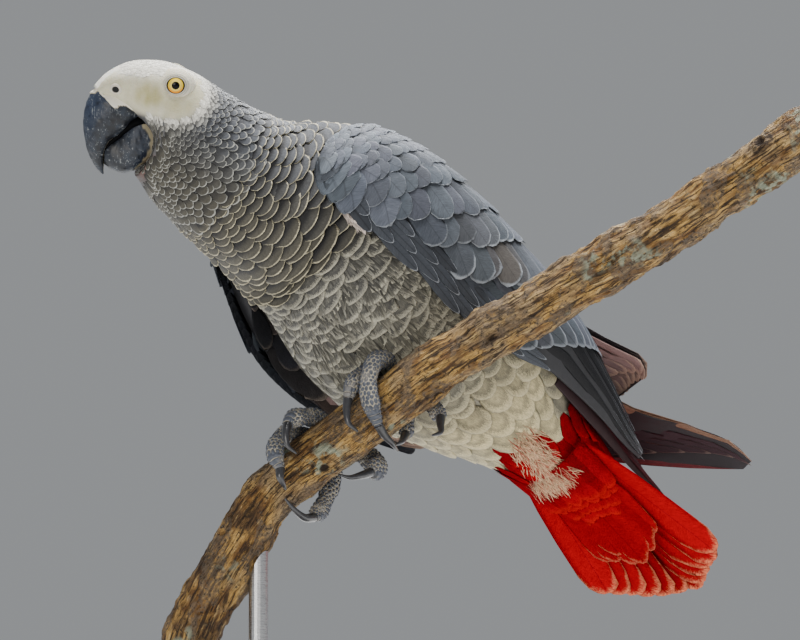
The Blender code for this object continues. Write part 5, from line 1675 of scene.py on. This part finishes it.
def build_nostrils():
    cere = skin_material("cere_skin")
    for name, sign in (("left", 1), ("right", -1)):
        at, normal = nearest_skin(on_head(NOSTRIL_PLACE[0], sign * NOSTRIL_PLACE[1], NOSTRIL_PLACE[2]))
        profile, colours = [row[:2] for row in NOSTRIL], [[*row[2], 1] for row in NOSTRIL]
        lathe(f"nostril_{name}", profile, at, normal, HEAD_UP, NOSTRIL_SIDES, cere, colours, (1.08, 0.95))


build_nostrils()


# ================================================================ branch

# The branch's axis in the world, lower end first, and its radius at distances along it.
BRANCH_ROUTE = [(-75, 46, 71), (-71, 40, 96), (-61, 27, 124), (-48, 14, 152), (-25, -7, 175), (3, -39, 204),
                (30, -72, 227), (56, -106, 249), (81, -140, 274), (104, -170, 297)]
BRANCH_RADII = [(0, 12.2), (60, 11.2), (110, 11.0), (150, 11.4), (200, 10.6), (260, 11.2), (310, 10.4),
                (372, 11.0)]
AXIS_POINTS = 400
AXIS = smooth_path(BRANCH_ROUTE, AXIS_POINTS)
AXIS_LENGTH = chord_knots(AXIS)


def branch_frames(s):
    i = np.clip(np.searchsorted(AXIS_LENGTH, s), 1, len(AXIS) - 2)
    along = unit(AXIS[i + 1] - AXIS[i - 1])
    up = unit(np.array([0, 0, 1.0]) - along * along[..., 2:3])
    share = ((np.asarray(s) - AXIS_LENGTH[i - 1]) / (AXIS_LENGTH[i] - AXIS_LENGTH[i - 1]))[..., None]
    return AXIS[i - 1] + (AXIS[i] - AXIS[i - 1]) * share, along, up, np.cross(up, along)


def branch_radius(s):
    table = np.array(BRANCH_RADII, float)
    return smooth(table[:, 0], table[:, 1], s)


def round_branch(s, angle, reach):
    at, _, up, far = branch_frames(np.asarray(s, float))
    turn = np.radians(np.asarray(angle, float))[..., None]
    return at + np.asarray(reach, float)[..., None] * (np.cos(turn) * up + np.sin(turn) * far)


# knots on the bark: distance along, angle from the top, radius, height
KNOTS = [(205, -108, 6.0, 1.9), (115, -132, 4.8, 1.6), (171, -164, 4.6, 1.4), (262, 30, 4.0, 1.2),
         (300, 150, 5.0, 1.8), (40, 60, 5.0, 1.6), (340, -60, 4.5, 1.3)]
# the same, without a hole
SWELLINGS = [(269, -20, 9.0, 1.3), (60, -60, 12.0, 0.8), (220, 40, 10.0, 0.9)]


def bark_material():
    """Weathered bark: yellow-tan wood where it has worn off, dark flakes and streaks, grey-green lichen, dark
    knots."""
    s = Shade("weathered_bark")
    here = s.here()
    around, along, high = s.carried("place")

    def drawn_out(share, offset, scale, detail, rough):
        """Noise drawn out along the branch."""
        return s.noise(s.vector(around, along * share, offset), scale, detail, rough)

    plates = drawn_out(0.30, 0.0, 0.22, 4.0, 0.6)
    streaks = drawn_out(0.20, 0.0, 0.42, 5.0, 0.62)
    fine = drawn_out(0.07, 3.0, 3.4, 3.0, 0.6)
    cracks = drawn_out(0.09, 7.0, 0.9, 4.0, 0.6)
    specks = s.noise(here, 700.0, 4.0, 0.7)
    patch = s.noise(here, 45.0, 3.0)
    flake = s.step(high, 0.3, 0.8) * s.step(specks, 0.36, 0.56)
    lichen = (s.step(s.noise(here, 38.0, 3.0, 0.5), 0.585, 0.66)
              * s.step(s.noise(here, 260.0, 4.0), 0.46, 0.58))
    colour = s.mix(s.step(plates, 0.38, 0.60), (0.20, 0.095, 0.026), (0.60, 0.36, 0.11))
    for share, other in ((s.step(patch, 0.46, 0.62) * 0.6, (0.36, 0.28, 0.18)),
                         (s.step(patch, 0.45, 0.36) * 0.85, (0.12, 0.065, 0.030)),
                         (s.step(streaks, 0.54, 0.66) * 0.75, (0.72, 0.50, 0.22)),
                         (s.step(streaks, 0.47, 0.37) * 0.9, (0.045, 0.025, 0.014)),
                         (s.step(cracks, 0.45, 0.40) * 0.9, (0.025, 0.015, 0.010)),
                         (s.step(fine, 0.50, 0.40) * 0.6, (0.10, 0.055, 0.026)),
                         (flake * 0.8, (0.17, 0.125, 0.085)),
                         (s.step(specks, 0.56, 0.63) * 0.8, (0.025, 0.018, 0.013)),
                         (lichen * 0.75, (0.38, 0.43, 0.32)),
                         (s.step(high, -0.2, -0.9), (0.03, 0.017, 0.010))):
        colour = s.mix(share, colour, other)
    relief = (streaks + plates * 0.7) + (specks * 0.35 + fine) + s.step(cracks, 0.38, 0.50)
    return s.end(colour, 0.72, s.bump(relief, 0.9, 0.0014), Specular_IOR_Level=0.3)


def cut_wood_material():
    s = Shade("cut_wood")
    across, up, _ = s.carried("place")
    radius = s.math("SQRT", across * across + up * up)
    wander = s.noise(s.vector(across, up, 0.0), 0.18, 2.0)
    rings = s.math("SINE", radius * 5.5 + wander * 9.0)
    colour = s.mix(s.step(rings, -0.6, 0.9), (0.55, 0.38, 0.20), (0.40, 0.25, 0.12))
    colour = s.mix(s.step(radius, 9.4, 10.4), colour, (0.10, 0.06, 0.03))
    return s.end(colour, 0.75, s.bump(rings, 0.2, 0.0003))


BARK_ROWS, BARK_COLUMNS = 620, 120
CUT_RINGS = 9                  # rings of faces on each cut end
MEAN_RADIUS = 11               # millimetres round the bark for each radian


def from_angle(turn, angle):
    """Degrees from an angle of the bark to each of its columns, the shorter way."""
    return (np.degrees(turn)[None] - angle + 180) % 360 - 180


def bark_relief(raw, s, turn):
    """Height of the bark over the plain branch, and what its colours read: 1 on a flake, below 0 in a
    knot."""
    furrows, knot = np.zeros(raw.shape[:2]), np.zeros(raw.shape[:2])
    for waves, pitch, size, seed in ((9, 0.10, 0.26, 1.0), (14, -0.17, 0.20, 2.2), (23, 0.31, 0.12, 0.4),
                                     (31, -0.52, 0.08, 5.1)):
        wander = 1.6 * np.sin(0.045 * s[:, None] * (1 + 0.1 * waves) + seed)
        furrows += size * np.sin(waves * turn[None] + pitch * s[:, None] + wander + seed)
    lumps = 0.5 * ripple(raw, 26.0, 61) + 0.32 * ripple(raw, 9.0, 62) + 0.2 * ripple(raw, 3.6, 63)
    # bark that has stayed on
    flakes = ease(ripple(raw * [1, 1, 0.55], 13.0, 66) + 0.35 * ripple(raw, 4.0, 67), 0.15, 0.28)
    height = 0.5 * furrows * (0.6 + 0.4 * ripple(raw, 30.0, 64)) + lumps - 0.45 + 0.55 * flakes
    for ks, angle, size, rise in KNOTS:
        d = np.hypot((s[:, None] - ks) / 1.15, np.radians(from_angle(turn, angle)) * MEAN_RADIUS)
        height += rise * np.exp(-(d / size) ** 2) - 1.7 * rise * np.exp(-(d / (0.38 * size)) ** 2)
        height += 0.25 * np.sin(d * 3.2) * np.exp(-(d / (1.7 * size)) ** 2)
        knot += (np.exp(-(d / (0.40 * size)) ** 2) + 0.30 * np.exp(-((d - size) / 1.3) ** 2)
                 * (1 + ripple(raw, 4.0, 68)))
    for ks, angle, size, rise in SWELLINGS:
        d = np.hypot((s[:, None] - ks) / 1.3, np.radians(from_angle(turn, angle)) * MEAN_RADIUS)
        height += rise * np.exp(-(d / size) ** 2)
    height = height * (1 - 0.5 * np.exp(-((s - 137) / 34.0) ** 4)[:, None])
    return height, flakes - 1.5 * knot


def build_branch():
    rows, columns = BARK_ROWS, BARK_COLUMNS
    s = np.linspace(0, AXIS_LENGTH[-1], rows)
    turn = turns(columns)
    at, along, up, far = branch_frames(s)
    out = circles(turn, up, far)
    radius = branch_radius(s)[:, None] * (1 + 0.03 * np.sin(3 * turn[None] + 0.11 * s[:, None])
                                          + 0.02 * np.sin(2 * turn[None] - 0.05 * s[:, None]))
    raw = at[:, None] + out * radius[..., None]
    height, high = bark_relief(raw, s, turn)
    points = raw + out * height[..., None]
    place = np.stack([turn[None] * MEAN_RADIUS * np.ones((rows, 1)), s[:, None] * np.ones((1, columns)),
                      high], -1)
    parts, places, ends = [points.reshape(-1, 3)], [place.reshape(-1, 3)], []
    faces = grid_faces(rows, columns)
    start = rows * columns
    for i, way in ((0, -1.0), (rows - 1, 1.0)):
        shrink = np.linspace(0.95, 0.04, CUT_RINGS)[:, None, None]
        rings = at[i] + (points[i] - at[i])[None] * shrink + along[i] * way * 0.6
        d = rings - at[i]
        parts.append(rings.reshape(-1, 3))
        places.append(np.stack([d @ far[i], d @ up[i], 0 * d[..., 0]], -1).reshape(-1, 3))
        firsts = [i * columns] + [start + ring * columns for ring in range(CUT_RINGS)]
        found = [(a + j, a + (j + 1) % columns, b + (j + 1) % columns, b + j)
                 for a, b in zip(firsts, firsts[1:]) for j in range(columns)]
        found.append(tuple(range(firsts[-1], firsts[-1] + columns)))
        ends += range(len(faces), len(faces) + len(found))
        faces += [face if way > 0 else face[::-1] for face in found]
        start += CUT_RINGS * columns
    bark = new_mesh("bark_branch", np.concatenate(parts), faces, bark_material(), None,
                    {"place": np.concatenate(places)})
    bark.data.materials.append(cut_wood_material())
    for index in ends:
        bark.data.polygons[index].material_index = 1
    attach(bark, "root")
    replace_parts(bark, "branch")
    fix_outward(bark)


build_branch()


# ================================================================ feet

# Each toe: its radii at root and tip, then its path and its claw's as (distance along the branch, angle from
# the top, reach).
LEFT_FOOT = {"toe_inner": ((4.1, 3.3),
                           [(157, 60, 17.3), (160, 20, 15.5), (158, -25, 17.2), (152, -62, 17.3),
                            (148, -92, 16.6), (145, -120, 15.6)],
                           [(144, -139, 15.6), (144, -155, 17.0), (143, -176, 18.6)]),
             "toe_outer": ((3.6, 3.0),
                           [(152, 52, 17.0), (152, 20, 15.6), (149, -20, 16.6), (145, -48, 17.8),
                            (141, -62, 17.2)], [(138, -77, 17.6), (136, -92, 18.4), (137, -108, 18.2)]),
             "toe_back_outer": ((3.9, 3.2),
                                [(160, 78, 17.8), (162, 104, 17.2), (163, 131, 16.8), (164, 152, 17.6)],
                                [(163, 165, 19.6), (162, 176, 22.4), (159, 184, 22.2)]),
             "toe_back_inner": ((3.6, 2.9),
                                [(153, 82, 17.6), (151, 105, 15.8), (149, 133, 14.6), (148, 155, 14.4)],
                                [(147, 170, 15.0), (146, 181, 16.0), (144, 190, 16.4)])}
RIGHT_FOOT = {"toe_inner": ((4.3, 3.7),
                            [(122, 66, 17.6), (122, 30, 15.4), (119, -8, 16.2), (116, -32, 19.3),
                             (113, -45, 21.2)], [(111, -57, 21.6), (109, -70, 20.2), (110, -82, 18.0)]),
              "toe_outer": ((3.9, 3.2),
                            [(116, 62, 16.8), (112, 28, 15.0), (108, -20, 15.4), (104, -50, 16.8),
                             (102, -68, 17.4), (101, -84, 17.0)],
                            [(99, -94, 18.6), (98, -103, 17.4), (97, -112, 15.2)]),
              "toe_back_inner": ((4.0, 3.4),
                                 [(118, 92, 19.6), (113, 112, 19.0), (107, 135, 18.6), (100, 160, 18.8),
                                  (96, 180, 19.2)], [(93, 198, 18.8), (93, 219, 17.6), (94, 240, 16.4)]),
              "toe_back_outer": ((4.6, 4.4),
                                 [(125, 94, 20.8), (128, 113, 20.8), (130, 138, 19.8), (128, 162, 18.0)],
                                 [(125, 178, 16.8), (121, 193, 15.8), (119, 206, 14.6)])}
CLAW_ROOT, CLAW_TIP, CLAW_TAPER = 2.0, 0.45, 1.3
SOLE = 4.5                     # how far the shank's tube goes on under its foot's place
TOE_RINGS, SHANK_RINGS, FOOT_SIDES = 180, 120, 80
CLAW_RINGS, CLAW_SIDES = 40, 24
TOE_SCALE, SHANK_SCALE = 1.95, 1.4          # width of a scale
SCUTES_FROM = 0.88             # share of a toe's length from which scutes cover its top
# Radii at foot and thigh, the foot's place as above, the top in the bird's frame.
SHANKS = {"left": ((4.9, 5.0), (156.5, 70, 21.0), (-29, 13, -31)),
          "right": ((4.9, 5.2), (120.5, 84, 22.6), (-36, -15, -36))}


def scaly_material():
    """Dark slate scales with pale skin between them."""
    s = Shade("foot_scales")
    here = s.here()
    _, _, height = s.carried("place")
    dirt = s.noise(here, 420.0, 3.0)
    patch = s.noise(here, 150.0, 2.0)
    scale = s.mix(dirt, (0.035, 0.043, 0.062), (0.11, 0.12, 0.15))
    gap = s.mix(patch, (0.28, 0.255, 0.20), (0.45, 0.405, 0.32))
    colour = s.mix(s.step(height + (dirt - 0.5) * 0.5, -0.66, -0.26), gap, scale)
    colour = s.mix(s.step(patch, 0.52, 0.66) * 0.35, colour, (0.40, 0.36, 0.29))
    return s.end(colour, 0.5, s.bump(height + dirt * 0.4, 0.35, 0.0003))


def claw_material():
    s = Shade("claw_horn")
    grain = s.noise(s.here(), 700.0, 3.0)
    colour = s.mix(grain, (0.012, 0.012, 0.014), (0.05, 0.05, 0.056))
    return s.end(colour, 0.3, s.bump(grain, 0.15, 0.0002), Coat_Weight=0.5, Coat_Roughness=0.15)


def scaled_tube(path, radii, rows, columns, pitch, pads=0.0, squash=1.0, seed=1, scutes=None):
    """A tube whose skin is an uneven honeycomb of low scales, with broad scutes over the top past the share
    scutes of its length. Returns its rings and, for colouring, the angle, the place along it and the scales'
    height."""
    knots = chord_knots(path)
    s = np.linspace(0, knots[-1], rows)
    path = smooth(knots, path, s)
    size = np.interp(s, np.linspace(0, knots[-1], len(radii)), radii)
    _, u, w = tube_frames(path)
    turn = turns(columns)
    circle = circles(turn, u, squash * w)
    raw = path[:, None] + size[:, None, None] * circle
    around = max(6, round(2 * np.pi * float(np.mean(radii)) / pitch))
    a = s[:, None] * (2 * np.pi / pitch) * 0.577 + 0.9 * ripple(raw, 5.0, seed)
    b = around * turn[None] + 0.9 * ripple(raw, 6.0, seed + 1)
    cells = (np.cos(2 * a) + np.cos(a + b) + np.cos(a - b)) * 0.66 + 0.25 * ripple(raw, 3.0, seed + 2)
    if scutes is not None:
        # the tube's top is the side away from the bark
        outward = unit(path - np.array([nearest_axis(p) for p in path]))
        facing = np.einsum("rcx,rx->rc", unit(circle), outward)
        bands = 1.4 - 2.4 * ease(np.cos(s[:, None] * 2 * np.pi / 2.1 + 0.5 * facing), 0.6, 1.0)
        share = ease(s / knots[-1], scutes - 0.04, scutes + 0.04)[:, None] * ease(facing, 0.35, 0.7)
        cells = cells + (bands - cells) * share
    knuckle = pads * np.cos(s / knots[-1] * 2 * np.pi * 2.5)[:, None]
    radius = size[:, None] + 0.26 * cells.clip(-1.0, 1.0) + knuckle + 0.15 * ripple(raw, 7.0, seed + 3)
    rings = path[:, None] + radius[..., None] * circle
    place = np.stack([turn[None] * np.ones((rows, 1)), s[:, None] * np.ones((1, columns)), cells], -1)
    return rings, place


def nearest_axis(point):
    return AXIS[np.argmin(((AXIS - point) ** 2).sum(1))]


def build_feet():
    scales, horn = scaly_material(), claw_material()
    for side, foot in (("left", LEFT_FOOT), ("right", RIGHT_FOOT)):
        parts, places, claws = [], [], []
        for name, (radii, rows, claw_rows) in foot.items():
            path = round_branch(*np.array(rows, float).T)
            size = np.linspace(radii[0], radii[1], 40)
            # slimmer where it leaves the foot and where its claw starts
            size[:5] *= np.linspace(0.75, 1, 5)
            size[-6:] *= np.linspace(1, 0.66, 6)
            rings, place = scaled_tube(path, size, TOE_RINGS, FOOT_SIDES, TOE_SCALE, pads=0.3, squash=0.94,
                                       seed=len(parts) * 7 + 3, scutes=SCUTES_FROM)
            parts.append(tube_mesh(rings))
            places += [place.reshape(-1, 3), np.zeros((2, 3))]
            path = smooth_path(np.concatenate([path[-1:], round_branch(*np.array(claw_rows, float).T)]),
                               CLAW_RINGS)
            share = np.linspace(0, 1, CLAW_RINGS)
            _, u, w = tube_frames(path)
            radius = (CLAW_ROOT + (CLAW_TIP - CLAW_ROOT) * share**CLAW_TAPER)[:, None, None]
            claws.append(tube_mesh(path[:, None] + radius * circles(turns(CLAW_SIDES), u, w)))
        radii, foot_at, top = SHANKS[side]
        path = np.array([round_branch(foot_at[0], foot_at[1], foot_at[2] - SOLE), round_branch(*foot_at),
                         bird(*top)])
        rings, place = scaled_tube(smooth_path(path, 12), np.linspace(radii[0], radii[1], 12), SHANK_RINGS,
                                   FOOT_SIDES, SHANK_SCALE, pads=0.1, seed=77)
        parts.append(tube_mesh(rings))
        places += [place.reshape(-1, 3), np.zeros((2, 3))]
        verts, faces = join_parts(parts)
        obj = new_mesh(f"foot_{side}", verts, faces, scales, None, {"place": np.concatenate(places)})
        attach(obj, "root")
        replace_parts(obj, f"shank_{side}", *[f"{name}_{side}" for name in foot])
        fix_outward(obj)
        verts, faces = join_parts(claws)
        obj = new_mesh(f"claws_{side}", verts, faces, horn)
        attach(obj, "root")
        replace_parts(obj, *[f"{name.replace('toe', 'claw')}_{side}" for name in foot])
        fix_outward(obj)


build_feet()


# ================================================================ stand

def painted_wood():
    s = Shade("painted_wood")
    here = s.here()
    x, y, z = s.split(here)
    grain = s.noise(s.vector(x * 12.0, y * 260.0, z * 260.0), 1.0, 4.0)
    colour = s.mix(grain, (0.018, 0.017, 0.017), (0.034, 0.032, 0.031))
    wear = s.step(s.noise(here, 90.0, 4.0), 0.6, 0.75)
    return s.end(s.mix(wear * 0.35, colour, (0.06, 0.055, 0.05)), 0.42, s.bump(grain, 0.25, 0.0004))


def brushed_steel():
    s = Shade("brushed_steel")
    x, y, z = s.split(s.here())
    lines = s.noise(s.vector(x * 300.0, y * 300.0, z * 9000.0), 1.0, 2.0)
    colour = s.mix(lines, (0.50, 0.50, 0.51), (0.60, 0.60, 0.61))
    return s.end(colour, s.step(lines, 0.3, 0.7, 0.24, 0.38), s.bump(lines, 0.12, 0.0001), Metallic=1.0)


def build_stand():
    paint, steel = painted_wood(), brushed_steel()
    for node, material in (("stand_base", paint), ("stand_collar", steel), ("stand_rod", steel)):
        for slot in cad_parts[node].material_slots:
            slot.material = material


build_stand()
